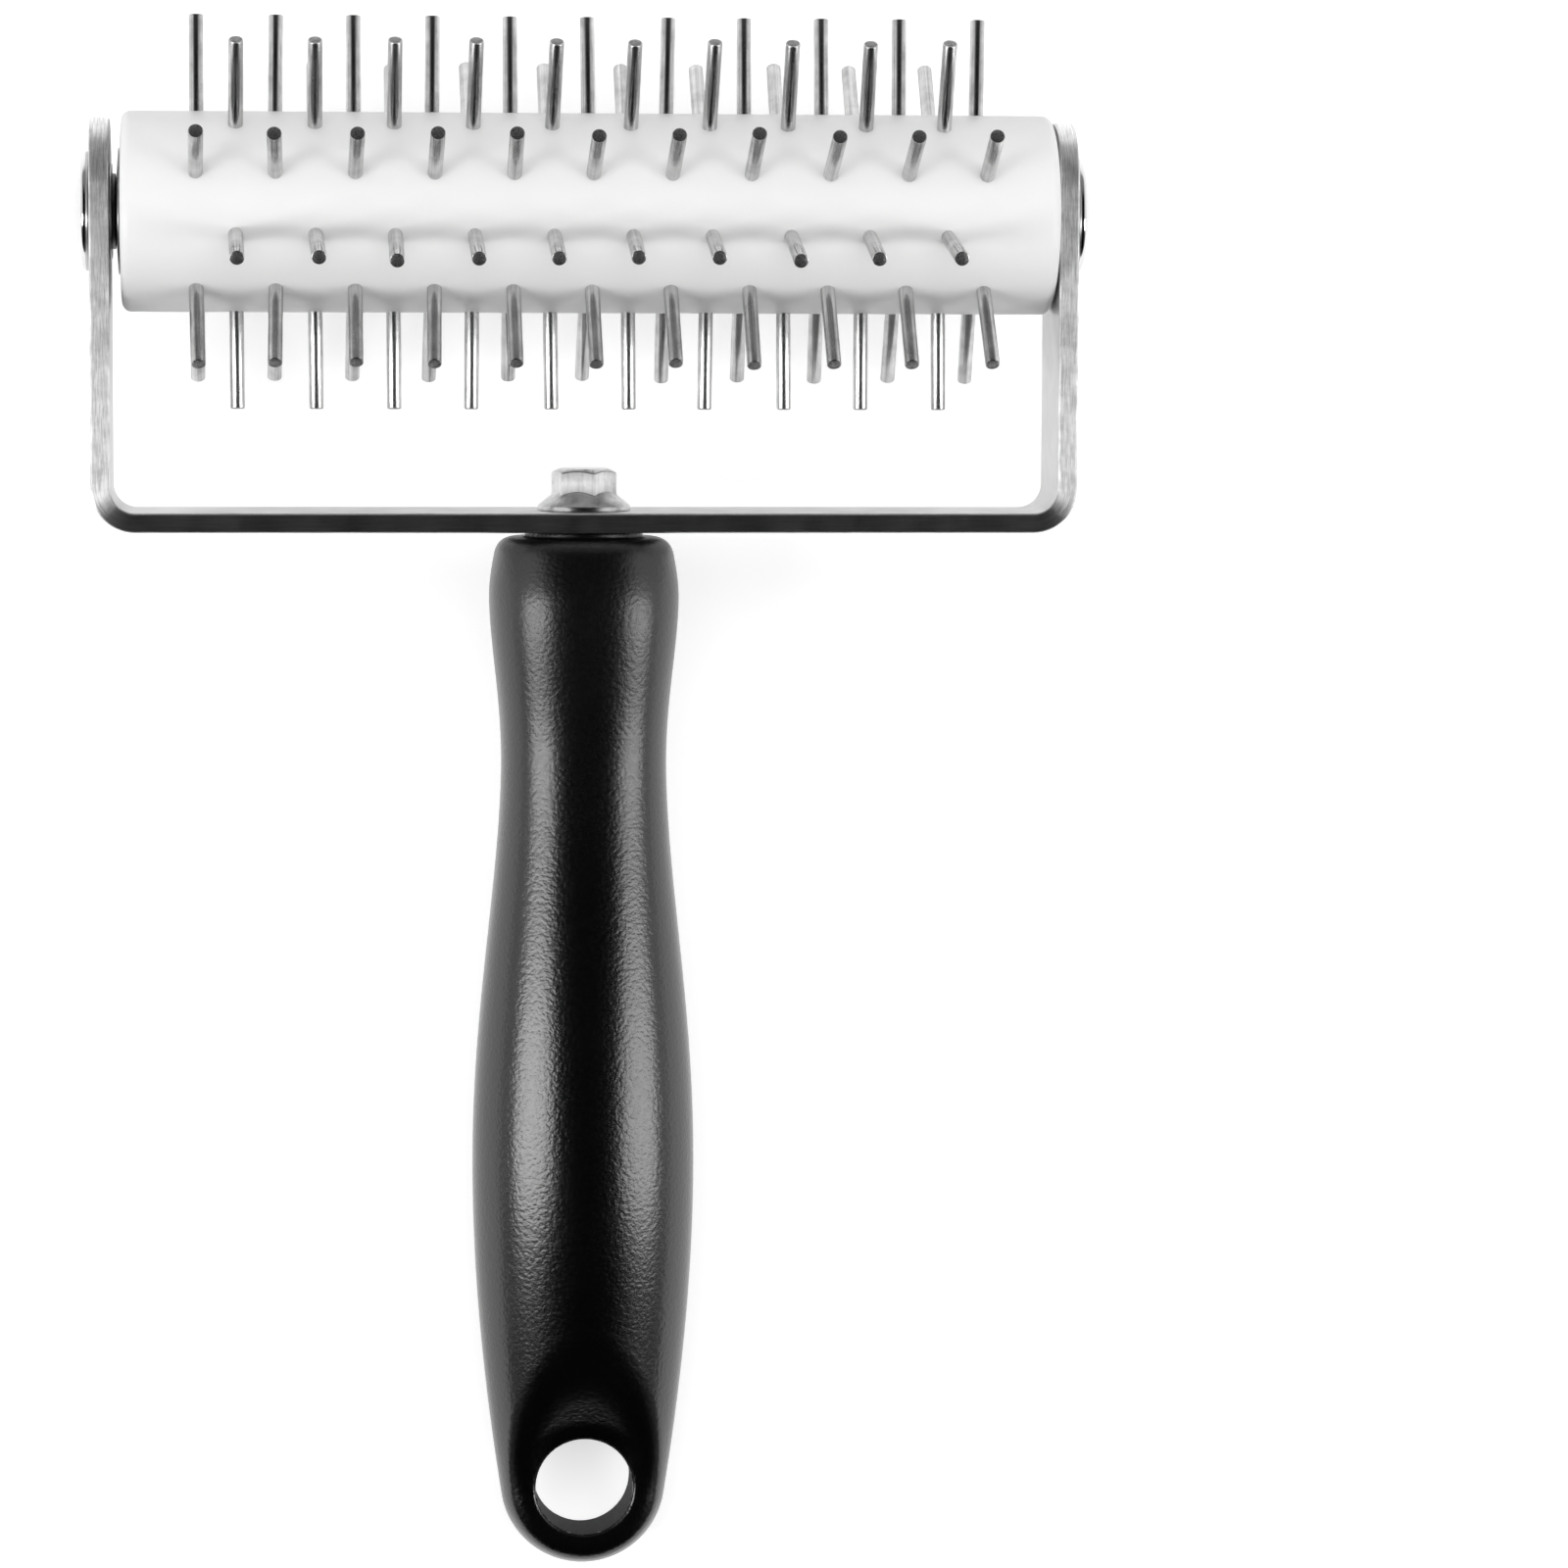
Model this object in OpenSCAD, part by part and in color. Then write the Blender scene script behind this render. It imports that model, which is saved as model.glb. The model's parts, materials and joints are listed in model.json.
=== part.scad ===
// Dough docker: a white roller full of steel pins, turning in a bent steel fork with a black handle.
// It lies as it rests on a table: +X runs along the axle, +Y from the handle to the roller, +Z up.
// The origin is on the table, under the middle of the whole tool. Sizes are in millimetres.

/* [Roller] */
// Length of the roller
roller_len = 127.3; // [90:0.1:160]
// Diameter of the roller
roller_d = 27.3; // [24:0.1:32]
// Rounding of the roller's end edges
roller_edge_r = 1.3; // [0.4:0.1:2.5]

/* [Pins] */
// Diameter of a pin
pin_d = 2; // [1.4:0.1:2.6]
// Distance from pin to pin along a row
pin_pitch = 10.7; // [7:0.1:14]
// How far a pin stands out of the roller
pin_out = 13.2; // [8:0.1:15]
// How deep a pin sits in the roller
pin_seat = 7.5; // [4:0.1:8]
// Bare length kept at each end of the roller, at least
pin_end_margin = 9.5; // [6:0.1:14]
// Chamfer round a pin's cut end
pin_chamfer = 0.15; // [0.05:0.05:0.4]

/* [Fork] */
// Thickness of the steel strip
strip_t = 2.7; // [2:0.1:3.5]
// Width of the steel strip
strip_w = 18; // [14:0.1:22]
// Outside radius of the two bends
bend_r = 6; // [4:0.1:9]
// From the axle to the inside of the fork's base
fork_reach = 40.7; // [38:0.1:60]
// From the axle to the round end of each arm
arm_end = 12.7; // [10:0.1:14]

/* [Axle] */
// Diameter of the axle rod
axle_d = 6; // [5:0.1:7]
// Diameter of the domed caps
cap_d = 16.4; // [12:0.1:18]
// Height of the domed caps
cap_h = 2.5; // [2.2:0.1:4]
// Thickness of a cap's round rim
cap_rim = 1.2; // [0.8:0.1:1.6]
// How far the rod reaches into each cap
cap_socket = 1.5; // [1:0.1:1.6]

/* [Washers] */
// Diameter of the thin washer against the left arm
fork_washer_d = 13.1; // [11:0.1:16]
// Thickness of the thin washer
fork_washer_t = 0.3; // [0.2:0.05:0.8]
// Diameter of the split spring washer
spring_washer_d = 10.3; // [9.4:0.1:12]
// Thickness of the split spring washer
spring_washer_t = 0.5; // [0.3:0.05:1]
// Width of the split
spring_washer_gap = 0.8; // [0.4:0.1:1.5]
// Diameter of the dished washer against the roller
thrust_washer_d = 17.3; // [12:0.1:20]
// Thickness of the dished washer's sheet
thrust_washer_t = 0.3; // [0.2:0.05:0.6]
// How deep the dished washer is dished
thrust_washer_dish = 0.35; // [0.1:0.05:0.8]

/* [Handle] */
// Length of the handle without its seat ring
handle_len = 143.8; // [125:0.1:170]
// Diameter of the ring that the fork sits on
seat_ring_d = 16.2; // [13:0.1:19]
// Height of that ring
seat_ring_h = 1; // [0.4:0.1:2]
// Rounding of the handle's top edge
shoulder_r = 2; // [1:0.1:3]
// Diameter of the handle just under its top edge
shoulder_d = 24.6; // [22:0.1:26]
// Diameter at the collar's widest place
collar_d = 26.1; // [25:0.1:29]
// From the top to the collar's widest place
collar_at = 8.2; // [6:0.1:12]
// Width at the neck
neck_w = 22.8; // [20:0.1:25]
// From the top to the neck
neck_at = 31.1; // [24:0.1:40]
// Width at the belly
belly_w = 30.8; // [26:0.1:34]
// From the top to the belly
belly_at = 87.3; // [70:0.1:95]
// Depth of the belly, as a share of its width
belly_depth_share = 0.86; // [0.75:0.01:1]
// Radius of the round end, seen from above
end_r = 11.5; // [10.6:0.1:13]
// Depth of the round end, as a share of its width
end_depth_share = 0.78; // [0.7:0.01:0.9]

/* [Hanging hole] */
// Diameter of the hanging hole
hole_d = 13.5; // [9:0.1:14]
// Length of the hole's straight wall
hole_wall = 9.2; // [6:0.1:10]
// Radius of the ball that dishes the hole's two mouths
dish_r = 9.6; // [8:0.1:11]

/* [Bolt and insert] */
// Diameter of the bolt's thread
bolt_d = 6; // [5:0.1:7]
// Length of the bolt under its head
bolt_len = 16; // [12:0.1:25]
// Size of the hexagon across its flats
hex_af = 8; // [7.5:0.1:8.5]
// Height of the whole head
head_h = 5.8; // [4.5:0.1:7]
// Diameter of the head's flange
flange_d = 12.8; // [11:0.1:15]
// Thickness of the flange's rim
flange_rim = 0.7; // [0.4:0.1:1]
// Height at which the flange's cone runs into the hexagon
flange_h = 2; // [1.5:0.1:2.5]
// Outside diameter of the threaded insert
insert_d = 9; // [8.4:0.1:11]
// Length of the threaded insert
insert_len = 13; // [8:0.1:18]

/* [Clearances] */
// Running clearance between the axle and the roller's bore, on the radius
axle_clearance = 0.05; // [0.02:0.01:0.1]
// Side play between the roller and the dished washer
left_play = 0.1; // [0.1:0.05:0.5]
// Side play between the roller and the right arm
right_play = 0.35; // [0.2:0.05:0.8]
// Clearance of each seated piece in its hole, on the radius
seat_clearance = 0.01; // [0.01:0.01:0.05]
// Clearance of the fixed holes and washers round the axle and the bolt, on the radius
hole_clearance = 0.15; // [0.1:0.01:0.3]

/* [Hidden] */
$fn = 96;
// Rows of pins round the roller, one node each
row_count = 10;
// Sides of each ring and number of rings of the handle's skin
skin_sides = 40;
skin_rings = 34;
cap_rings = 9;
shoulder_rings = 4;
// How much earlier than a plain cosine the handle swells or narrows
swell_lead = 0.87;
// How far round the end the handle's sides run into it, in degrees
end_join = 9;
// Turn of the bolt's hexagon about its own axis, in degrees
hex_turn = 15;
// Length of the bolt's point
bolt_point = 1;
// How steeply the cone on top of the bolt's head falls
head_cone_slope = 0.5;
// Length and depth of the groove round the insert
insert_groove = 2.6;
insert_groove_depth = 0.45;
// Slack of a cutting tool past the face that it cuts
cut = 1;

axle_r = axle_d / 2;
roller_r = roller_d / 2;
pin_r = pin_d / 2;
tip_r = roller_r + pin_out;
row_step = 360 / row_count;
full_row = floor((roller_len - 2 * pin_end_margin) / pin_pitch) + 1;

left_stack = fork_washer_t + spring_washer_t + thrust_washer_t + thrust_washer_dish;
left_gap = left_stack + left_play;
fork_inside = roller_len + left_gap + right_play;
arm_x = fork_inside / 2;
arm_out_x = arm_x + strip_t;
roller_x = (left_gap - right_play) / 2;
base_out_y = fork_reach + strip_t;
handle_top = base_out_y + seat_ring_h;
hole_at = handle_len - end_r;
hole_r = hole_d / 2;
dish_z = hole_wall / 2 + sqrt(dish_r * dish_r - hole_r * hole_r);

// The roller rests on two rows of pins, each half a row's step from straight down
rest_turn = row_step / 2;
axle_z = tip_r * cos(rest_turn) + (pin_r - pin_chamfer) * sin(rest_turn);

// Smooth step from 0 to 1 with no slope at its ends
function ease(t) = (1 - cos(180 * min(max(t, 0), 1))) / 2;
function blend(a, b, t) = a + (b - a) * ease(pow(max(t, 0), swell_lead));
// Curve from a level start to a given slope at its end
function run_out(a, b, slope, t, len) =
    a + (b - a) * (3 - 2 * t) * t * t + slope * len * (t - 1) * t * t;

// Place and half width where the handle's sides run into the round end
join_at = hole_at + end_r * sin(end_join);
join_r = end_r * cos(end_join);

// Half width of the handle at a distance s from its top
function half_width(s) =
    s < shoulder_r ? shoulder_d / 2 - shoulder_r
        + sqrt(max(0, shoulder_r * shoulder_r - pow(shoulder_r - s, 2)))
    : s < collar_at ? shoulder_d / 2
        + (collar_d - shoulder_d) / 2 * sin(90 * (s - shoulder_r) / (collar_at - shoulder_r))
    : s < neck_at ? blend(collar_d / 2, neck_w / 2, (s - collar_at) / (neck_at - collar_at))
    : s < belly_at ? blend(neck_w / 2, belly_w / 2, (s - neck_at) / (belly_at - neck_at))
    : s < join_at ? run_out(belly_w / 2, join_r, -tan(end_join),
        (s - belly_at) / (join_at - belly_at), join_at - belly_at)
    : sqrt(max(0, end_r * end_r - pow(s - hole_at, 2)));

// Depth of the handle as a share of its width: round at the collar, oval from the belly on
function depth_share(s) = s < belly_at
    ? 1 + (belly_depth_share - 1) * ease((s - collar_at) / (belly_at - collar_at))
    : belly_depth_share + (end_depth_share - belly_depth_share) * ease((s - belly_at) / (hole_at - belly_at));
function half_depth(s) = half_width(s) * depth_share(s);

// Stations along the handle: close together in the shoulder and in the round end
stations = concat(
    [for (i = [0:shoulder_rings - 1]) shoulder_r * (1 - cos(90 * i / shoulder_rings))],
    [for (i = [0:skin_rings - 1]) shoulder_r + (join_at - shoulder_r) * i / skin_rings],
    [for (i = [0:cap_rings - 1]) hole_at + end_r * sin(end_join + (90 - end_join) * i / cap_rings)]
);

// The handle sinks until its belly touches the table too
function touch_angle(y, z) = asin(axle_z / norm([y, z])) - atan(z / y);
tilt = min([for (s = stations) touch_angle(handle_top + s, half_depth(s))]);

// The whole tool's two ends along Y, seen from the axle
end_half_depth = end_r * end_depth_share;
far_end = (handle_top + hole_at) * cos(tilt) + norm([end_r * cos(tilt), end_half_depth * sin(tilt)]);
axle_y = (far_end - tip_r) / 2;

// Sets a piece that stands still in its place, from the axle's own frame
module in_tool() {
    translate([0, axle_y, axle_z]) rotate([tilt, 0, 0]) children();
}

// Sets a piece that turns with the roller in its place
module in_roller() {
    translate([roller_x, axle_y, axle_z]) children();
}

// Turns something drawn along +Z so that it runs along +X
module along_x() {
    rotate([0, 90, 0]) children();
}

// Turns something drawn along +Z so that it runs from the fork to the handle's end
module along_handle() {
    rotate([90, 0, 0]) children();
}

// A ring with straight walls, drawn up from its lower face
module ring(outer_r, inner_r, height) {
    difference() {
        cylinder(r = outer_r, h = height);
        translate([0, 0, -cut]) cylinder(r = inner_r, h = height + 2 * cut);
    }
}

// The handle's outer skin, ring after ring of an oval
module handle_skin() {
    rings = len(stations);
    ring_points = [for (s = stations) for (k = [0:skin_sides - 1])
        [half_width(s) * cos(360 * k / skin_sides), half_depth(s) * sin(360 * k / skin_sides), s]];
    tip = [[0, 0, handle_len]];
    walls = [for (i = [0:rings - 2]) for (k = [0:skin_sides - 1])
        let (a = i * skin_sides + k, b = i * skin_sides + (k + 1) % skin_sides)
        each [[a, a + skin_sides, b + skin_sides], [a, b + skin_sides, b]]];
    last = (rings - 1) * skin_sides;
    nose = [for (k = [0:skin_sides - 1]) [last + k, rings * skin_sides, last + (k + 1) % skin_sides]];
    top = [[for (k = [0:skin_sides - 1]) k]];
    polyhedron(points = concat(ring_points, tip), faces = concat(top, walls, nose), convexity = 4);
}

module handle_grip() {
    bore_r = insert_d / 2 + seat_clearance;
    bolt_room = bolt_d / 2 + hole_clearance;
    bolt_depth = max(bolt_len - strip_t, insert_len) + cut;
    color([0.05, 0.05, 0.055]) in_tool() translate([0, -handle_top, 0]) difference() {
        union() {
            along_handle() handle_skin();
            along_handle() translate([0, 0, -seat_ring_h])
                cylinder(d = seat_ring_d, h = seat_ring_h + shoulder_r);
        }
        along_handle() translate([0, 0, -seat_ring_h - cut]) cylinder(r = bore_r, h = insert_len + cut);
        along_handle() translate([0, 0, -seat_ring_h - cut]) cylinder(r = bolt_room, h = bolt_depth + cut);
        translate([0, -hole_at, -roller_r]) cylinder(r = hole_r, h = roller_d);
        for (side = [-1, 1]) translate([0, -hole_at, side * dish_z]) sphere(r = dish_r);
    }
}

module handle_insert() {
    thread_r = bolt_d / 2 + seat_clearance;
    color([0.72, 0.56, 0.28]) in_tool() translate([0, -base_out_y, 0]) along_handle() difference() {
        ring(insert_d / 2, thread_r, insert_len);
        translate([0, 0, (insert_len - insert_groove) / 2])
            ring(insert_d, insert_d / 2 - insert_groove_depth, insert_groove);
    }
}

// The bolt's head: the flange's cone runs up into the hexagon, and a cone on top cuts its corners off.
// Both cones run on past the hexagon, so that none of them only touches its corners or flats
module bolt_head() {
    corner_r = hex_af / sqrt(3);
    edge_break = corner_r - hex_af / 2;
    flange_r = flange_d / 2;
    top_r = hex_af / 2 - edge_break;
    flange_slope = (flange_h + edge_break - flange_rim) / (flange_r - hex_af / 2);
    wide_r = flange_r + cut;
    cone_h = (wide_r - top_r) * head_cone_slope;
    intersection() {
        union() {
            cylinder(r = flange_r, h = flange_rim);
            translate([0, 0, flange_rim])
                cylinder(r1 = flange_r, r2 = top_r, h = (flange_r - top_r) * flange_slope);
            rotate([0, 0, -hex_turn]) cylinder(r = corner_r, h = head_h, $fn = 6);
        }
        union() {
            cylinder(r = wide_r, h = head_h - cone_h);
            translate([0, 0, head_h - cone_h]) cylinder(r1 = wide_r, r2 = top_r, h = cone_h);
        }
    }
}

module handle_bolt() {
    color([0.78, 0.78, 0.79]) in_tool() translate([0, -fork_reach, 0]) {
        rotate([-90, 0, 0]) bolt_head();
        along_handle() cylinder(d = bolt_d, h = bolt_len - bolt_point);
        along_handle() translate([0, 0, bolt_len - bolt_point])
            cylinder(d1 = bolt_d, d2 = bolt_d - 2 * bolt_point, h = bolt_point);
    }
}

// A quarter of the strip's bend, with its centre at the origin and its arc towards -X and -Y
module bend_outline() {
    intersection() {
        difference() {
            circle(r = bend_r);
            circle(r = bend_r - strip_t);
        }
        translate([-bend_r, -bend_r]) square(bend_r);
    }
}

// The strip seen along its width: two arms, two bends and the base
module fork_outline() {
    for (side = [0, 1]) mirror([side, 0]) {
        translate([-arm_out_x, -base_out_y + bend_r]) square([strip_t, base_out_y - bend_r + arm_end]);
        translate([-arm_out_x + bend_r, -base_out_y + bend_r]) bend_outline();
        translate([-arm_out_x + bend_r, -base_out_y]) square([arm_out_x - bend_r, strip_t]);
    }
}

// The strip seen along the axle: a straight band with a full round end
module arm_outline() {
    translate([-strip_w / 2, -base_out_y - cut]) square([strip_w, base_out_y + cut + arm_end - strip_w / 2]);
    translate([0, arm_end - strip_w / 2]) circle(d = strip_w);
}

module fork_bracket() {
    color([0.62, 0.62, 0.63]) in_tool() difference() {
        intersection() {
            translate([0, 0, -strip_w / 2]) linear_extrude(strip_w) fork_outline();
            translate([-arm_out_x - cut, 0, 0]) along_x() linear_extrude(2 * (arm_out_x + cut)) arm_outline();
        }
        translate([-arm_out_x - cut, 0, 0]) along_x()
            cylinder(r = axle_r + seat_clearance, h = 2 * (arm_out_x + cut));
        translate([0, -fork_reach + cut, 0]) along_handle()
            cylinder(r = bolt_d / 2 + hole_clearance, h = strip_t + 2 * cut);
    }
}

module axle_rod() {
    rod_half = arm_out_x + cap_socket;
    color([0.7, 0.7, 0.71]) in_tool() translate([-rod_half, 0, 0]) along_x() cylinder(r = axle_r, h = 2 * rod_half);
}

// Half of a cap's rim, for turning about the axle: a flat disc with a full round edge
module cap_rim_outline() {
    edge_r = cap_rim / 2;
    square([cap_d / 2 - edge_r, cap_rim]);
    translate([cap_d / 2 - edge_r, edge_r]) circle(r = edge_r, $fn = 48);
}

// A shallow dome on a round rim, with a blind socket for the rod in its flat face
module axle_cap() {
    foot_r = (cap_d - cap_rim) / 2;
    rise = cap_h - cap_rim;
    ball_r = (foot_r * foot_r + rise * rise) / (2 * rise);
    difference() {
        union() {
            rotate_extrude() cap_rim_outline();
            intersection() {
                translate([0, 0, cap_h - ball_r]) sphere(r = ball_r);
                translate([0, 0, cap_rim]) cylinder(r = foot_r, h = cap_h);
            }
        }
        translate([0, 0, -cut]) cylinder(r = axle_r + seat_clearance, h = cap_socket + seat_clearance + cut);
    }
}

module axle_cap_left() {
    color([0.78, 0.78, 0.79]) in_tool() mirror([1, 0, 0]) translate([arm_out_x, 0, 0]) along_x() axle_cap();
}

module axle_cap_right() {
    color([0.78, 0.78, 0.79]) in_tool() translate([arm_out_x, 0, 0]) along_x() axle_cap();
}

module fork_washer() {
    color([0.55, 0.55, 0.56]) in_tool() translate([-arm_x, 0, 0]) along_x()
        ring(fork_washer_d / 2, axle_r + hole_clearance, fork_washer_t);
}

module spring_washer() {
    color([0.4, 0.4, 0.41]) in_tool() translate([-arm_x + fork_washer_t, 0, 0]) along_x() difference() {
        ring(spring_washer_d / 2, axle_r + hole_clearance, spring_washer_t);
        translate([0, -spring_washer_gap / 2, -cut])
            cube([spring_washer_d, spring_washer_gap, spring_washer_t + 2 * cut]);
    }
}

// A thin cone of sheet: its bore is near the arm and its rim near the roller
module thrust_washer() {
    inner_r = axle_r + hole_clearance;
    outer_r = thrust_washer_d / 2;
    color([0.66, 0.66, 0.67]) in_tool() translate([-arm_x + fork_washer_t + spring_washer_t, 0, 0]) along_x()
        rotate_extrude() polygon([[inner_r, 0], [outer_r, thrust_washer_dish],
            [outer_r, thrust_washer_dish + thrust_washer_t], [inner_r, thrust_washer_t]]);
}

// One pin, drawn from its seat in the roller out along +Y
module pin(extra_r = 0) {
    root = roller_r - pin_seat;
    rotate([-90, 0, 0]) translate([0, 0, root]) {
        cylinder(r = pin_r + extra_r, h = tip_r - root - pin_chamfer, $fn = 32);
        translate([0, 0, tip_r - root - pin_chamfer])
            cylinder(r1 = pin_r + extra_r, r2 = pin_r + extra_r - pin_chamfer, h = pin_chamfer, $fn = 32);
    }
}

// All pins of one row, or their seats; every other row has one pin less and stands half a pitch over
module pins_of_row(row, extra_r = 0) {
    count = full_row - row % 2;
    rotate([row * row_step, 0, 0])
        for (i = [0:count - 1]) translate([(i - (count - 1) / 2) * pin_pitch, 0, 0]) pin(extra_r);
}

// Half of the roller's outline, for turning about the axle
module roller_outline() {
    bore_r = axle_r + axle_clearance;
    straight_r = roller_r - roller_edge_r;
    translate([bore_r, -roller_len / 2]) square([straight_r - bore_r, roller_len]);
    translate([bore_r, -roller_len / 2 + roller_edge_r])
        square([roller_r - bore_r, roller_len - 2 * roller_edge_r]);
    for (side = [-1, 1]) translate([straight_r, side * (roller_len / 2 - roller_edge_r)])
        circle(r = roller_edge_r, $fn = 48);
}

module roller_core() {
    color([0.95, 0.95, 0.95]) in_roller() difference() {
        along_x() rotate_extrude() roller_outline();
        for (row = [0:row_count - 1]) pins_of_row(row, seat_clearance);
    }
}

module pin_row(row) {
    color([0.74, 0.74, 0.75]) in_roller() pins_of_row(row);
}

handle_grip();
handle_insert();
handle_bolt();
fork_bracket();
axle_rod();
axle_cap_left();
axle_cap_right();
fork_washer();
spring_washer();
thrust_washer();
roller_core();
pin_row(0);  // pin_row_01
pin_row(1);  // pin_row_02
pin_row(2);  // pin_row_03
pin_row(3);  // pin_row_04
pin_row(4);  // pin_row_05
pin_row(5);  // pin_row_06
pin_row(6);  // pin_row_07
pin_row(7);  // pin_row_08
pin_row(8);  // pin_row_09
pin_row(9);  // pin_row_10
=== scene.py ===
# %% [markdown]
# # A dough docker, dressed for its picture
# The tool is a white roller full of steel pins that turns in a bent steel fork with a black handle.
# Its exact solids come from CAD as a fixed frame. Blender could use those solids as they are, but they
# have sharp edges and no finish. So each piece is built again here as a smooth mesh in the same place,
# with the small roundings that catch the light, and rides on the same moving body as its solid.

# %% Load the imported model
import json
import math

import bmesh
import bpy
import numpy as np
from mathutils import Matrix, Vector


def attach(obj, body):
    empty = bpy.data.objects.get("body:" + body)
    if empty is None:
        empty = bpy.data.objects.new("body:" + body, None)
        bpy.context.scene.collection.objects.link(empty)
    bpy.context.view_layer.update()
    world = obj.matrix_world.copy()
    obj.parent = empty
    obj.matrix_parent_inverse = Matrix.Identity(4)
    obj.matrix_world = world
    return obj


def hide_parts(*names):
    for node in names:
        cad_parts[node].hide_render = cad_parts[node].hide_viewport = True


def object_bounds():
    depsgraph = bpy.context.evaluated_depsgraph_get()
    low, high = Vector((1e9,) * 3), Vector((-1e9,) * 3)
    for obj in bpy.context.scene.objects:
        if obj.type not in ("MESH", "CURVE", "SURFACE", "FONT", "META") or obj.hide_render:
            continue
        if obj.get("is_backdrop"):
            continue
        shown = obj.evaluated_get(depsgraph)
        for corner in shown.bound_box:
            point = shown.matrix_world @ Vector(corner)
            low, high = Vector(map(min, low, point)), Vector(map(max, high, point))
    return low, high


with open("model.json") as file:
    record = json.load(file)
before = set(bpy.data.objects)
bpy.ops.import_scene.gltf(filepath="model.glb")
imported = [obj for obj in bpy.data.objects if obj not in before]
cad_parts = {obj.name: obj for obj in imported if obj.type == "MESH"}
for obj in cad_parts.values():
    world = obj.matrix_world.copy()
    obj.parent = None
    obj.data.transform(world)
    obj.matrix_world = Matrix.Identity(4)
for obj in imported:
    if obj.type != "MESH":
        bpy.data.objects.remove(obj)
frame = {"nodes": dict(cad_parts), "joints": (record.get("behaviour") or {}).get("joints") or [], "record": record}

cad_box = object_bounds()
print("box of the solids", [tuple(corner) for corner in cad_box])

# %% [markdown]
# ## Where things are
# Blender works in metres and a workshop drawing in millimetres, so the drawing's numbers are turned into
# metres once, at the end. The fork and the handle lean a few degrees, because the tool rests on its pins
# and on the handle's belly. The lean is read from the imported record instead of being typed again: the
# hanging hole's axis tips by just as much.

# %% Frames of the tool and of the roller
MM = 0.001
roller_at = np.array(frame["joints"][0]["pos_m"]) / MM
axle_at = np.array([0.0, roller_at[1], roller_at[2]])
hang_hole = next(m for m in frame["record"]["mounts"] if m["name"] == "hang_hole")
tilt = math.asin(-hang_hole["axis"][1])


def in_tool(points):
    """Points drawn round the axle with the handle along -Y, in millimetres, set in place in metres."""
    x, y, z = np.asarray(points, float).T
    turned_y = y * math.cos(tilt) - z * math.sin(tilt)
    turned_z = y * math.sin(tilt) + z * math.cos(tilt)
    return (np.column_stack([x, turned_y, turned_z]) + axle_at) * MM


def in_roller(points):
    """Points drawn round the roller's own centre, in millimetres, set in place in metres."""
    return (np.asarray(points, float) + roller_at) * MM


print("axle at", axle_at, "mm, fork and handle lean", round(math.degrees(tilt), 3), "degrees")

# %% [markdown]
# ## Turning points into a piece
# A mesh is a list of points and a list of faces that name them. Nearly every piece below ends in the
# helper make_piece: it welds points that fall together, makes all faces look outwards, shades the mesh
# smooth but keeps true corners sharp, and hands the piece to its body. A second coordinate, the UV map
# "grain", runs across and along the metal's grain in millimetres, so that brushed lines can follow a bend
# or go round a pin.

# %% Helpers that make a piece
KEEP_SHARP = math.radians(38)
WELD = 2e-7
NO_LENGTH = 1e-8


def add_object(name, data):
    made = bpy.data.objects.new(name, data)
    bpy.context.scene.collection.objects.link(made)
    return made


def with_modifiers(piece):
    """The piece's mesh as its modifiers leave it, as a new mesh."""
    bpy.context.view_layer.update()
    return bpy.data.meshes.new_from_object(piece.evaluated_get(bpy.context.evaluated_depsgraph_get()))


def tidy_mesh(mesh, weld=WELD):
    work = bmesh.new()
    work.from_mesh(mesh)
    bmesh.ops.remove_doubles(work, verts=work.verts, dist=weld)
    bmesh.ops.dissolve_degenerate(work, edges=work.edges, dist=NO_LENGTH)
    bmesh.ops.recalc_face_normals(work, faces=work.faces)
    work.to_mesh(mesh)
    work.free()
    mesh.shade_smooth()
    mesh.set_sharp_from_angle(angle=KEEP_SHARP)


def make_piece(name, points, faces, materials, body, node, grain, face_material=None, place=in_tool):
    mesh = bpy.data.meshes.new(name)
    mesh.from_pydata(place(points).tolist(), [], [list(map(int, f)) for f in faces])
    for material in materials:
        mesh.materials.append(material)
    layer = mesh.uv_layers.new(name="grain")
    layer.data.foreach_set("uv", np.asarray(grain, np.float32).ravel())
    if face_material is not None:
        mesh.polygons.foreach_set("material_index", np.asarray(face_material, np.int32))
    tidy_mesh(mesh)
    piece = add_object(name, mesh)
    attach(piece, body)
    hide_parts(node)
    print(name, len(mesh.polygons), "faces")
    return piece


# %% [markdown]
# ## Outlines and turned pieces
# Washers, caps, rod, pins and the roller are all round, so each is an outline spun round an axis. The Spin
# tool or a Screw modifier would do it too, but a few lines of code also give the grain map. No real edge
# is perfectly sharp, so a corner of an outline may carry a radius, and a short arc takes its place.

# %% Helpers for outlines with rounded corners, and for spinning them
def rounded(corners, steps=4):
    """Corners (across, along, radius) as points, with an arc in place of each corner that has a radius."""
    points = []
    for i, (a, b, radius) in enumerate(corners):
        here = np.array([a, b], float)
        if radius == 0:
            points.append(here)
            continue
        before = np.array(corners[i - 1][:2], float) - here
        after = np.array(corners[(i + 1) % len(corners)][:2], float) - here
        before /= np.linalg.norm(before)
        after /= np.linalg.norm(after)
        half = math.acos(float(before @ after)) / 2
        middle = before + after
        centre = here + middle / np.linalg.norm(middle) * radius / math.sin(half)
        start = here + before * radius / math.tan(half) - centre
        stop = here + after * radius / math.tan(half) - centre
        sweep = math.pi - 2 * half
        for t in np.arange(steps + 1) / steps:
            arc = start * math.sin((1 - t) * sweep) + stop * math.sin(t * sweep)
            points.append(centre + arc / math.sin(sweep))
    return np.array(points)


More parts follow.
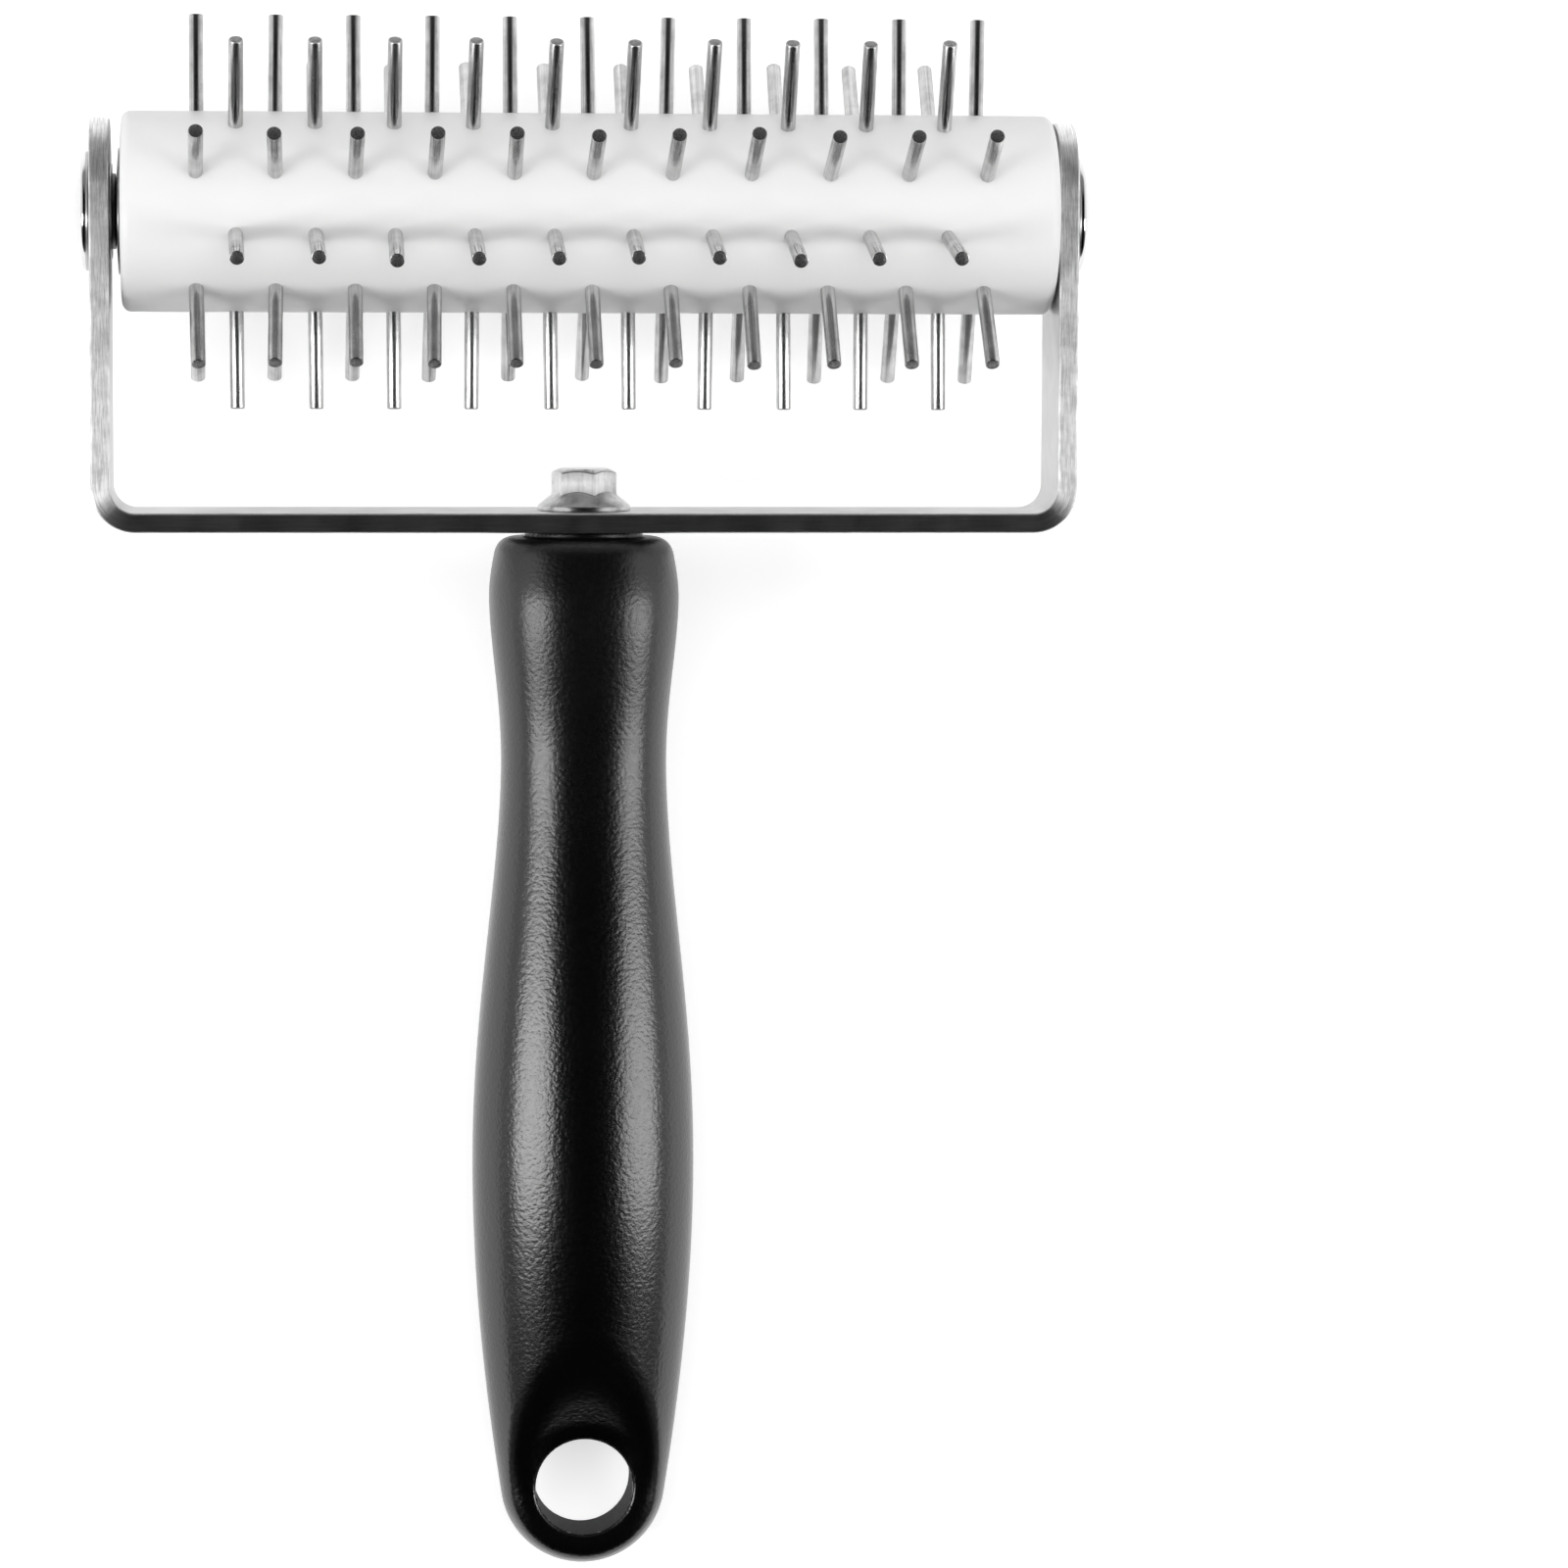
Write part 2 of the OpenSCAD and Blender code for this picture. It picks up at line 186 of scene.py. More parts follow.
def tube(inner, outer, low, high, inner_edge, outer_edge, rise=0.0, steps=4):
    """Section of a tube or a washer. With rise, the outer edge stands higher, as on a dished washer."""
    return rounded([(inner, low, inner_edge), (outer, low + rise, outer_edge),
                    (outer, high + rise, outer_edge), (inner, high, inner_edge)], steps)


def quad(ring, next_ring, k, size):
    """One square of a net of rings: from ring to next_ring, and from point k to the point after it."""
    m = (k + 1) % size
    return ring * size + k, next_ring * size + k, next_ring * size + m, ring * size + m


def spin(outline, sides, closed=True):
    """Spins (radius, height) points round the height axis, and gives points, faces and grain map."""
    rings = len(outline)
    angle = 2 * math.pi * np.arange(sides) / sides
    radius, height = outline.T
    points = np.stack([np.outer(radius, np.cos(angle)), np.repeat(height[:, None], sides, 1),
                       np.outer(radius, np.sin(angle))], -1).reshape(-1, 3)
    along = np.concatenate([[0], np.cumsum(np.linalg.norm(np.diff(outline, axis=0), axis=1))])
    around = np.arange(sides + 1) / sides * 2 * math.pi * radius.max()
    faces, grain = [], []
    for i in range(rings if closed else rings - 1):
        j = (i + 1) % rings
        top = along[j] if j else along[-1] + np.linalg.norm(outline[0] - outline[-1])
        for k in range(sides):
            faces.append(quad(i, j, k, sides))
            u, v = around[k], around[k + 1]
            grain += [(u, along[i]), (u, top), (v, top), (v, along[i])]
    return points, faces, grain


def along_axle(points, start, way=1):
    """Turns a spun piece so that its height runs along the axle from start, to the left when way is -1."""
    x, h, z = points.T
    return np.column_stack([start + way * h, x, z])


print("a square corner of radius 1 becomes", len(rounded([(0, 0, 0), (2, 0, 1), (2, 2, 0)])) - 2, "points")

# %% [markdown]
# ## Building a finish out of nodes
# A finish in Blender is a small network of nodes that ends in the Principled shader. Nothing is painted
# from a picture: noise gives the unevenness of a real surface, stretched noise gives brushed lines, and a
# bump node turns the same noise into tiny grooves that bend the reflections. Noise sizes are in
# millimetres here, because the objects' own coordinates and the grain map are scaled first. A noise
# node's values mostly stay between 0.3 and 0.7, so that range is spread over the wanted one.

# %% Helpers for finishes
NOISE_LOW, NOISE_HIGH = 0.3, 0.7
MIX_FACTOR, MIX_FIRST, MIX_SECOND, MIX_RESULT = 0, 6, 7, 2


def new_finish(name):
    material = bpy.data.materials.new(name)
    material.use_nodes = True
    return material, material.node_tree, material.node_tree.nodes["Principled BSDF"]


def plug(tree, made, inputs):
    """Links each of a node's inputs that is given another node's output, and sets the others."""
    for key, value in inputs.items():
        if isinstance(value, bpy.types.NodeSocket):
            tree.links.new(value, made.inputs[key])
        else:
            made.inputs[key].default_value = value
    return made


def node(tree, kind, inputs=None, **settings):
    made = tree.nodes.new(kind)
    for key, value in settings.items():
        setattr(made, key, value)
    return plug(tree, made, inputs or {})


def place_mm(tree, stretch=(1, 1, 1), grain=False):
    """Coordinates in millimetres, either the object's own or its grain map, stretched for each direction."""
    if grain:
        source = node(tree, "ShaderNodeUVMap", uv_map="grain").outputs["UV"]
        factor = 1.0
    else:
        source = node(tree, "ShaderNodeTexCoord").outputs["Object"]
        factor = 1 / MM
    scaled = node(tree, "ShaderNodeMapping", {"Vector": source, "Scale": tuple(factor * s for s in stretch)})
    return scaled.outputs["Vector"]


def noise(tree, where, per_mm, detail=3.0, roughness=0.55):
    made = node(tree, "ShaderNodeTexNoise", {"Vector": where, "Scale": per_mm, "Detail": detail,
                                             "Roughness": roughness})
    return made.outputs["Fac"]


def between(tree, fac, low, high, to_low=0.0, to_high=1.0, curve="LINEAR"):
    made = node(tree, "ShaderNodeMapRange", {"Value": fac, "From Min": low, "From Max": high,
                                             "To Min": to_low, "To Max": to_high}, interpolation_type=curve)
    return made.outputs["Result"]


def math_node(tree, operation, a, b=0.0):
    return node(tree, "ShaderNodeMath", {0: a, 1: b}, operation=operation).outputs[0]


def two_colours(tree, fac, first, second):
    made = node(tree, "ShaderNodeMix", {MIX_FACTOR: fac, MIX_FIRST: (*first, 1), MIX_SECOND: (*second, 1)},
                data_type="RGBA")
    return made.outputs[MIX_RESULT]


def bump(tree, height, depth_mm, strength=1.0):
    return node(tree, "ShaderNodeBump", {"Height": height, "Distance": depth_mm * MM,
                                         "Strength": strength}).outputs["Normal"]


print("Blender", bpy.app.version_string)

# %% [markdown]
# ## Black satin plastic
# The handle is moulded in black plastic whose mould was etched, so it has a very fine grain that breaks
# the light up into a speckled sheen. A rough shader alone would look like rubber, and a glossy one like
# lacquer. So the roughness is fairly low, which keeps the middle black between the two sheens, and a
# fine noise bump gives the speckle. Towards the fork, where the thumb rests, the skin is a little duller.

# %% The handle's finish
SPECKLE_PER_MM = 1.75
SPECKLE_DEPTH = 0.015
SPECKLE_RANGE = 0.34, 0.66
CLOUD_PER_MM = 0.06
SKIN_BLACKS = (0.0006, 0.0006, 0.0007), (0.0012, 0.0012, 0.0013)
SKIN_ROUGHNESS = 0.20, 0.24
CLOUD_ROUGHNESS = -0.01, 0.02
DULLER_FROM_Y, DULLER_TO_Y = -30.0, 26.0
DULLER_BY = 0.09
PLASTIC_IOR = 1.5
SKIN_SHINE = 0.74
black_plastic, tree, shader = new_finish("black_satin_plastic")
here = place_mm(tree)
speckle = noise(tree, here, SPECKLE_PER_MM, detail=1.0, roughness=0.5)
cloud = noise(tree, here, CLOUD_PER_MM, detail=4.0)
dull = math_node(tree, "ADD", between(tree, speckle, NOISE_LOW, NOISE_HIGH, *SKIN_ROUGHNESS),
                 between(tree, cloud, NOISE_LOW, NOISE_HIGH, *CLOUD_ROUGHNESS))
along = node(tree, "ShaderNodeSeparateXYZ", {"Vector": here}).outputs["Y"]
near_fork = between(tree, along, DULLER_FROM_Y, DULLER_TO_Y, 0.0, DULLER_BY, "SMOOTHSTEP")
plug(tree, shader, {"Metallic": 0.0, "IOR": PLASTIC_IOR, "Specular IOR Level": SKIN_SHINE,
                    "Base Color": two_colours(tree, cloud, *SKIN_BLACKS),
                    "Roughness": math_node(tree, "ADD", dull, near_fork),
                    "Normal": bump(tree, between(tree, speckle, *SPECKLE_RANGE), SPECKLE_DEPTH)})
print(black_plastic.name, len(tree.nodes), "nodes")

# %% [markdown]
# The wall of the hanging hole was formed by a plain steel pin in the mould and not by the etched halves, so
# it is duller than the skin. It gets a second, rougher black of its own.

# %% The bore's duller finish
GRIT_PER_MM = 4.0
GRIT_DEPTH = 0.03
BORE_SHINE = 0.30
BORE_BLACK = (0.004, 0.004, 0.004, 1)
BORE_ROUGHNESS = 0.62, 0.74
bore_plastic, tree, shader = new_finish("dull_bore_plastic")
grit = noise(tree, place_mm(tree), GRIT_PER_MM)
plug(tree, shader, {"IOR": PLASTIC_IOR, "Specular IOR Level": BORE_SHINE, "Base Color": BORE_BLACK,
                    "Roughness": between(tree, grit, NOISE_LOW, NOISE_HIGH, *BORE_ROUGHNESS),
                    "Normal": bump(tree, grit, GRIT_DEPTH)})
print(bore_plastic.name, len(tree.nodes), "nodes")

# %% [markdown]
# ## White plastic of the roller
# The roller is turned from white plastic, which is satin and lets a little light in under its surface.
# Turning leaves very fine rings round it, so the bump is a noise that is stretched round the axle.

# %% The roller's finish
RINGS_PER_MM = 2.6
RINGS_STRETCH = (1, 0.02, 0.02)
RINGS_DEPTH = 0.012
RINGS_STRENGTH = 0.6
TINT_PER_MM = 0.05
TINTS = (0.88, 0.88, 0.875), (0.92, 0.92, 0.92)
SMEAR_PER_MM = 0.4
ROLLER_ROUGHNESS = 0.36, 0.46
LIGHT_DEPTH = 1.2
white_plastic, tree, shader = new_finish("white_turned_plastic")
here = place_mm(tree)
rings = noise(tree, place_mm(tree, RINGS_STRETCH), RINGS_PER_MM)
cloud = noise(tree, here, TINT_PER_MM, detail=4.0)
smears = noise(tree, here, SMEAR_PER_MM)
plug(tree, shader, {"Base Color": two_colours(tree, cloud, *TINTS),
                    "Roughness": between(tree, smears, NOISE_LOW, NOISE_HIGH, *ROLLER_ROUGHNESS),
                    "Normal": bump(tree, rings, RINGS_DEPTH, RINGS_STRENGTH),
                    "Subsurface Weight": 0.15, "Subsurface Radius": (1, 1, 1),
                    "Subsurface Scale": LIGHT_DEPTH * MM})
print(white_plastic.name, len(tree.nodes), "nodes")

# %% [markdown]
# ## Steel, brushed and polished
# All the metal but the brass insert is steel in different states. One recipe makes them: a grey metal, a
# cloudy noise that makes it patchy, and long fine lines along the grain as a bump. Real brushed grooves
# also smear a reflection sideways. The shader's anisotropy does that, and it needs to know which way the
# grain runs, which is what the grain map is for. The fork needs three of them. Its strip was sheared from
# sheet metal, so the wide faces are smooth, while the narrow edges still show the cut: scratched on the
# arms, more even along the base. The arms' edges are painted a lighter grey than the base's, which is
# painted light on the arms and painted shade along the base. The bolt needs two, as its six flats are
# streaked and painted a lighter grey than the rest of it, which is a painted highlight. The pins' cut
# ends are painted darker than the wire, which is painted shade.

# %% The recipe for steel
LINES_SHARE = 0.55
PATCH_SHARE = 0.45
DULLER, BRIGHTER = 1.15, 0.85
QUARTER_TURN = 0.25


def steel(name, dark, light, dull, lines, depth_mm, anisotropy, patch_per_mm=0.25, spread=0.25, turn=0.0,
          tint=(1, 1, 1)):
    """dark and light are the two greys, and dull is the middle roughness.

    lines is how often the grain repeats (across, along), per millimetre, and depth_mm is how deep it goes.
    A small spread makes the patches stand out from each other more sharply.
    """
    material, tree, shader = new_finish(name)
    here = place_mm(tree, grain=True)
    long_lines = noise(tree, place_mm(tree, (*lines, 1), grain=True), 1.0, detail=4.0, roughness=0.65)
    patches = noise(tree, here, patch_per_mm, detail=5.0, roughness=0.6)
    mixed = math_node(tree, "ADD", math_node(tree, "MULTIPLY", long_lines, LINES_SHARE),
                      math_node(tree, "MULTIPLY", patches, PATCH_SHARE))
    fac = between(tree, mixed, 0.5 - spread / 2, 0.5 + spread / 2)
    first, second = [tuple(grey * share for share in tint) for grey in (dark, light)]
    grain_direction = node(tree, "ShaderNodeTangent", direction_type="UV_MAP", uv_map="grain")
    plug(tree, shader, {"Metallic": 1.0, "Anisotropic": anisotropy, "Anisotropic Rotation": turn,
                        "Tangent": grain_direction.outputs["Tangent"],
                        "Base Color": two_colours(tree, fac, first, second),
                        "Roughness": between(tree, patches, NOISE_LOW, NOISE_HIGH,
                                             dull * DULLER, dull * BRIGHTER),
                        "Normal": bump(tree, long_lines, depth_mm)})
    print(name, len(tree.nodes), "nodes")
    return material


fork_steel = steel("smooth_fork_steel", 0.54, 0.66, 0.34, (5.0, 0.09), 0.006, 0.6,
                   patch_per_mm=0.15, spread=0.5)
# The arms' narrow edges: scratched, and painted a lighter grey than the base's edge, which is painted light.
fork_edge_steel = steel("scratched_arm_edge_steel_painted_light", 0.54, 0.98, 0.46, (5.5, 0.28), 0.020, 0.85,
                        patch_per_mm=0.22, spread=0.18)
# The base's narrow edge: the same cut edge in a darker grey than the arms', which is painted shade.
fork_base_steel = steel("sheared_base_edge_steel_painted_shade", 0.54, 0.86, 0.39, (4.5, 0.12), 0.008, 0.76,
                        patch_per_mm=0.20, spread=0.35)
pin_steel = steel("drawn_pin_steel", 0.34, 0.66, 0.24, (2.4, 0.02), 0.002, 0.6, patch_per_mm=0.3)
# The pins' cut ends: rough, and painted much darker than the wire, which is painted shade.
cut_steel = steel("cut_pin_end_steel_painted_shade", 0.10, 0.34, 0.45, (3.0, 3.0), 0.03, 0.0, patch_per_mm=1.5)
cap_steel = steel("polished_cap_steel", 0.66, 0.78, 0.12, (0.2, 3.0), 0.0015, 0.3,
                  patch_per_mm=0.15, turn=QUARTER_TURN)
bolt_steel = steel("bright_bolt_steel", 0.46, 0.72, 0.24, (1.2, 1.2), 0.006, 0.2, patch_per_mm=0.5)
# The bolt's flats: real streaks, and a lighter grey than the rest of the bolt, which is a painted highlight.
facet_steel = steel("streaked_facet_steel_painted_highlight", 0.74, 0.99, 0.62, (3.0, 0.20), 0.024, 0.5,
                    patch_per_mm=0.5)
rod_steel = steel("axle_rod_steel", 0.45, 0.62, 0.28, (3.0, 0.1), 0.006, 0.4)
washer_steel = steel("turned_washer_steel", 0.40, 0.62, 0.30, (0.15, 4.0), 0.008, 0.5, turn=QUARTER_TURN)
spring_steel = steel("dark_spring_steel", 0.10, 0.20, 0.38, (0.5, 4.0), 0.01, 0.3, turn=QUARTER_TURN)
brass = steel("insert_brass", 0.55, 0.75, 0.30, (1.2, 2.0), 0.01, 0.2, tint=(1.0, 0.78, 0.42))

# %% [markdown]
# ## The roller
# The roller is one thick white tube with softly rounded ends, so it is one spun outline: a bore for the
# axle, two flat ends and a long straight wall. More sides than usual keep its edge round up close.

# %% Roller body
ROLLER_LEN = 127.3
ROLLER_R = 13.65
ROLLER_EDGE = 1.3
ROLLER_SIDES = 128
BORE_R = 3.05
BORE_EDGE = 0.25
half_len = ROLLER_LEN / 2
outline = tube(BORE_R, ROLLER_R, -half_len, half_len, BORE_EDGE, ROLLER_EDGE, steps=6)
points, faces, grain = spin(outline, ROLLER_SIDES)
make_piece("white_roller", along_axle(points, 0), faces, [white_plastic], "roller", "roller_core",
           grain, place=in_roller)

# %% [markdown]
# ## The pins
# Ten rows of steel pins stand round the roller, 36 degrees apart. Rows of 11 and rows of 10 take turns,
# so that the pins of one row stand in the gaps of the next. They are cut from wire and pressed in, so
# none is perfectly straight: each gets a small lean of its own from a seeded random number, which gives
# the same leans each time the script runs. The rows on the table stay straight, as the tool rests on
# them. The cut ends are rougher, and they are painted a much darker grey than the wire, which is painted
# shade, so they have a finish of their own. Each pin also gets its
# own place on the grain map, or all would have the same lines.

# %% Pins, one piece for each row
PIN_R = 1.0
PIN_TIP = 26.85
PIN_ROOT = 6.15
ROOT_CHAMFER = 0.3
CUT_DROP = 0.12
CUT_BURR = 0.04
CUT_EDGE = 0.14
PIN_PITCH = 10.7
LONG_ROW = 11
ROW_STEP = 36
ROWS = 10
LEAN = 0.8
LEAN_LIMIT = 1.5
LEAN_SEED = 7
RESTING_ROWS = (7, 8)
PIN_SIDES = 24
END_RINGS = 2
SHIFT_PIN, SHIFT_ROW, SHIFT_ALONG = 7.3, 90, 31
wire = rounded([(0, PIN_ROOT, 0), (PIN_R - ROOT_CHAMFER, PIN_ROOT, 0), (PIN_R, PIN_ROOT + ROOT_CHAMFER, 0),
                (PIN_R, PIN_TIP - CUT_DROP, 0), (PIN_R - CUT_BURR, PIN_TIP - CUT_BURR, 0),
                (PIN_R - CUT_EDGE, PIN_TIP, 0), (0, PIN_TIP, 0)])
end_from = (len(wire) - END_RINGS) * PIN_SIDES
random = np.random.default_rng(LEAN_SEED)


def turn_about(points, axis, degrees):
    return points @ np.array(Matrix.Rotation(math.radians(degrees), 3, axis)).T


for row in range(ROWS):
    count = LONG_ROW - row % 2
    all_points, all_faces, all_grain, end_face = [], [], [], []
    for i in range(count):
        lean = np.clip(random.normal(0, LEAN, 2), -LEAN_LIMIT, LEAN_LIMIT) * (row not in RESTING_ROWS)
        roll = random.uniform(0, 360)
        points, faces, grain = spin(wire, PIN_SIDES, closed=False)
        points = turn_about(points, "Y", roll) - (0, ROLLER_R, 0)
        points = turn_about(turn_about(points, "Z", lean[0]), "X", lean[1]) + (0, ROLLER_R, 0)
        offset = sum(len(p) for p in all_points)
        all_points.append(points + ((i - (count - 1) / 2) * PIN_PITCH, 0, 0))
        all_faces += [tuple(offset + v for v in f) for f in faces]
        all_grain += [(u + SHIFT_PIN * i + SHIFT_ROW * row, v + SHIFT_ALONG * i) for u, v in grain]
        # The cut ends get the darker steel, which is painted shade.
        end_face += [1 if k >= end_from else 0 for k in range(len(faces))]
    points = turn_about(np.vstack(all_points), "X", row * ROW_STEP)
    make_piece(f"steel_pins_{row + 1:02d}", points, all_faces, [pin_steel, cut_steel], "roller",
               f"pin_row_{row + 1:02d}", all_grain, end_face, place=in_roller)

# %% [markdown]
# ## The fork
# The fork is one steel strip with round ends, bent twice. A Bevel modifier on the solid would round its
# edges, but it would know nothing of the grain, which has to run along the strip and round both bends.
# So the flat blank is drawn first, as rings of points across the strip with its long edges rounded, and
# then each point is moved on to the bent path. That is also how the real one is made.

# %% The flat blank and its bent path
STRIP_T = 2.7
STRIP_W = 18.0
BEND_R = 6.0
ARM_X = 64.6
ARM_OUT_X = ARM_X + STRIP_T
BASE_IN_Y = 40.7
BASE_OUT_Y = BASE_IN_Y + STRIP_T
ARM_END = 12.7
STRIP_EDGE = 0.35
END_STEPS, BASE_STEPS, BEND_STEPS, ARM_STEPS = 21, 25, 15, 12
bend_mid_r = BEND_R - STRIP_T / 2
base_half = ARM_OUT_X - BEND_R
bend_len = bend_mid_r * math.pi / 2
strip_half = base_half + bend_len + BASE_OUT_Y - BEND_R + ARM_END


def bent(along, out):
    """Moves the blank on to the bent path: along the strip, and out from its middle layer."""
    a, side = np.abs(along), np.sign(along)
    angle = np.clip((a - base_half) / bend_mid_r, 0, math.pi / 2)
    past = np.maximum(a - base_half - bend_len, 0)
    x = np.minimum(a, base_half) + (bend_mid_r + out) * np.sin(angle)
    y = -BASE_OUT_Y + BEND_R - (bend_mid_r + out) * np.cos(angle) + past
    return x * side, y


def strip_stations():
    """(along, half width, outline's direction along and across) for each ring of the blank."""
    inner = STRIP_W / 2 - STRIP_EDGE
    centre = strip_half - STRIP_W / 2
    turned = [(centre + inner * math.sin(a), inner * math.cos(a), math.sin(a), math.cos(a))
              for a in np.linspace(0, math.pi / 2, END_STEPS)]
    straight = np.concatenate([np.linspace(0, base_half, BASE_STEPS),
                               np.linspace(base_half, base_half + bend_len, BEND_STEPS)[1:],
                               np.linspace(base_half + bend_len, centre, ARM_STEPS)[1:-1]])
    right = [(s, inner, 0.0, 1.0) for s in straight] + turned
    left = [(-s, w, -ds, dw) for s, w, ds, dw in reversed(right[1:])]
    return left + right


# %% [markdown]
# Each ring of the blank goes once round the strip: over a wide side and a narrow edge, then back over the
# other two. A face has the finish of the wide sides, of the arms' narrow edges or of the base's.

# %% The fork as a mesh
ON_SIDE, ON_ARM_EDGE, ON_BASE_EDGE = 0, 1, 2
stations = strip_stations()
across = np.linspace(-1, 1, 9)
corner = np.linspace(0, math.pi / 2, 5)
flat = STRIP_T / 2
ring_shape = []
for side in (1.0, -1.0):
    ring_shape += [(side * w, 0.0, side * flat) for w in across[1:-1]]
    ring_shape += [(side, math.sin(a), side * (flat - STRIP_EDGE * (1 - math.cos(a)))) for a in corner]
    ring_shape += [(side, math.cos(a), side * (STRIP_EDGE * (1 - math.sin(a)) - flat)) for a in corner]
ring_size = len(ring_shape)
rows = []
for s, half, ds, dw in stations:
    for share, push, out in ring_shape:
        side = np.sign(share)
        rows.append((s + STRIP_EDGE * push * ds, share * half + side * STRIP_EDGE * push * dw, out))
blank = np.array(rows)
middle = blank.reshape(len(stations), ring_size, 3)[len(stations) // 2]
steps = np.linalg.norm(np.diff(np.vstack([middle, middle[:1]]), axis=0), axis=1)
around = np.concatenate([[0], np.cumsum(steps)])
on_flat = [abs(push) < 0.01 for share, push, out in ring_shape]
half_bend = base_half + bend_len / 2
# edge_face gives the arms' edges their lighter steel and the base's edge its darker one: painted light and painted
# shade.
faces, grain, edge_face = [], [], []
for i in range(len(stations) - 1):
    for k in range(ring_size):
        on_base = abs(stations[i][0] + stations[i + 1][0]) / 2 < half_bend
        on_edge = ON_BASE_EDGE if on_base else ON_ARM_EDGE
        edge_face.append(ON_SIDE if on_flat[k] or on_flat[(k + 1) % ring_size] else on_edge)
        faces.append(quad(i, i + 1, k, ring_size))
        lengths = [blank[corner_point, 0] for corner_point in faces[-1]]
        grain += list(zip((around[k], around[k], around[k + 1], around[k + 1]), lengths))
x, y = bent(blank[:, 0], blank[:, 2])
fork = make_piece("steel_fork", np.column_stack([x, y, blank[:, 1]]), faces,
                  [fork_steel, fork_edge_steel, fork_base_steel], "handle", "fork_bracket",
                  grain, edge_face)

# %% [markdown]
# ## Holes in the fork
# A Boolean modifier subtracts one mesh from another. The cutters are plain round bars that are thrown
# away afterwards, so nothing of them is left in the scene. The Weighted Normal modifier then keeps the
# wide faces looking flat beside the rounded edges.

# %% Drill the fork
AXLE_R = 3.0
FIT = 0.01
CLEAR = 0.15
PAST = 2


def cut_round(piece, bars):
    """Drills round holes: each bar is (start, end, radius) in the tool's own millimetres."""
    for start, end, radius in bars:
        a, b = (Vector(p) for p in in_tool([start, end]))
        cutter = bpy.data.meshes.new("cutter")
        work = bmesh.new()
        place = Matrix.Translation((a + b) / 2) @ (b - a).to_track_quat("Z", "Y").to_matrix().to_4x4()
        bmesh.ops.create_cone(work, cap_ends=True, segments=64, radius1=radius * MM, radius2=radius * MM,
                              depth=(b - a).length, matrix=place)
        work.to_mesh(cutter)
        work.free()
        tool = add_object("cutter", cutter)
        drill = piece.modifiers.new("drill", "BOOLEAN")
        drill.object = tool
        drill.operation = "DIFFERENCE"
        drill.solver = "EXACT"
        piece.data = with_modifiers(piece)
        piece.modifiers.remove(drill)
        bpy.data.objects.remove(tool)
    tidy_mesh(piece.data)
    print(piece.name, "drilled,", len(piece.data.polygons), "faces")


cut_round(fork, [((-ARM_OUT_X - PAST, 0, 0), (-ARM_X + PAST, 0, 0), AXLE_R + FIT),
                 ((ARM_X - PAST, 0, 0), (ARM_OUT_X + PAST, 0, 0), AXLE_R + FIT),
                 ((0, -BASE_OUT_Y - PAST, 0), (0, -BASE_IN_Y + PAST, 0), AXLE_R + CLEAR)])
even = fork.modifiers.new("even_shading", "WEIGHTED_NORMAL")
even.keep_sharp = True

# %% [markdown]
# ## Rod, caps and washers
# The axle is a plain rod with a shallow domed cap pressed on each end. Between the left arm and the
# roller sit three washers: a thin flat one, a split spring washer and a thin dished one. They are small,
# but they are what fills the dark gap there.

# %% Axle rod and its two caps
CAP_R = 8.2
CAP_H = 2.5
CAP_RIM = 1.2
CAP_SOCKET = 1.5
ROD_EDGE = 0.2
rod_half = ARM_OUT_X + CAP_SOCKET
outline = rounded([(0, -rod_half, 0), (AXLE_R, -rod_half, ROD_EDGE), (AXLE_R, rod_half, ROD_EDGE),
                   (0, rod_half, 0)])
points, faces, grain = spin(outline, 48, closed=False)
make_piece("axle", along_axle(points, 0), faces, [rod_steel], "handle", "axle_rod", grain)

rim_r = CAP_RIM / 2
foot_r = CAP_R - rim_r
dome_rise = CAP_H - CAP_RIM
dome_r = (foot_r ** 2 + dome_rise ** 2) / (2 * dome_rise)
dome_angle = math.asin(foot_r / dome_r)
dome = [(dome_r * math.sin(a), CAP_H - dome_r * (1 - math.cos(a)), 0)
        for a in np.linspace(0, dome_angle, 20)]
rim = [(foot_r + rim_r * math.sin(a), rim_r + rim_r * math.cos(a), 0)
       for a in np.linspace(dome_angle, math.pi, 16)]
socket = [(AXLE_R + FIT, 0, 0), (AXLE_R + FIT, CAP_SOCKET + FIT, 0), (0, CAP_SOCKET + FIT, 0)]
outline = rounded(dome + rim + socket)
points, faces, grain = spin(outline, 96, closed=False)
for side, way in (("left", -1), ("right", 1)):
    make_piece(f"domed_cap_{side}", along_axle(points, way * ARM_OUT_X, way), faces, [cap_steel], "handle",
               f"axle_cap_{side}", grain)

# %% The flat washer and the dished one
FLAT_R = 6.55
FLAT_T = 0.3
FLAT_EDGE = 0.1
SPRING_T = 0.5
DISH_R = 17.3 / 2
DISH_T = 0.3
DISH_RISE = 0.35
DISH_EDGE = 0.12
EYE_EDGE = 0.06
bore = AXLE_R + CLEAR
points, faces, grain = spin(tube(bore, FLAT_R, 0, FLAT_T, EYE_EDGE, FLAT_EDGE), 72)
make_piece("flat_washer", along_axle(points, -ARM_X), faces, [washer_steel], "handle", "fork_washer",
           grain)

points, faces, grain = spin(tube(bore, DISH_R, 0, DISH_T, EYE_EDGE, DISH_EDGE, DISH_RISE), 96)
make_piece("dished_washer", along_axle(points, -ARM_X + FLAT_T + SPRING_T), faces, [washer_steel], "handle",
           "thrust_washer", grain)

# %% [markdown]
# The spring washer is a ring of square wire with a gap, so it isn't a full spin: its cross-section is
# carried round from one side of the gap to the other, and both cut ends are closed.

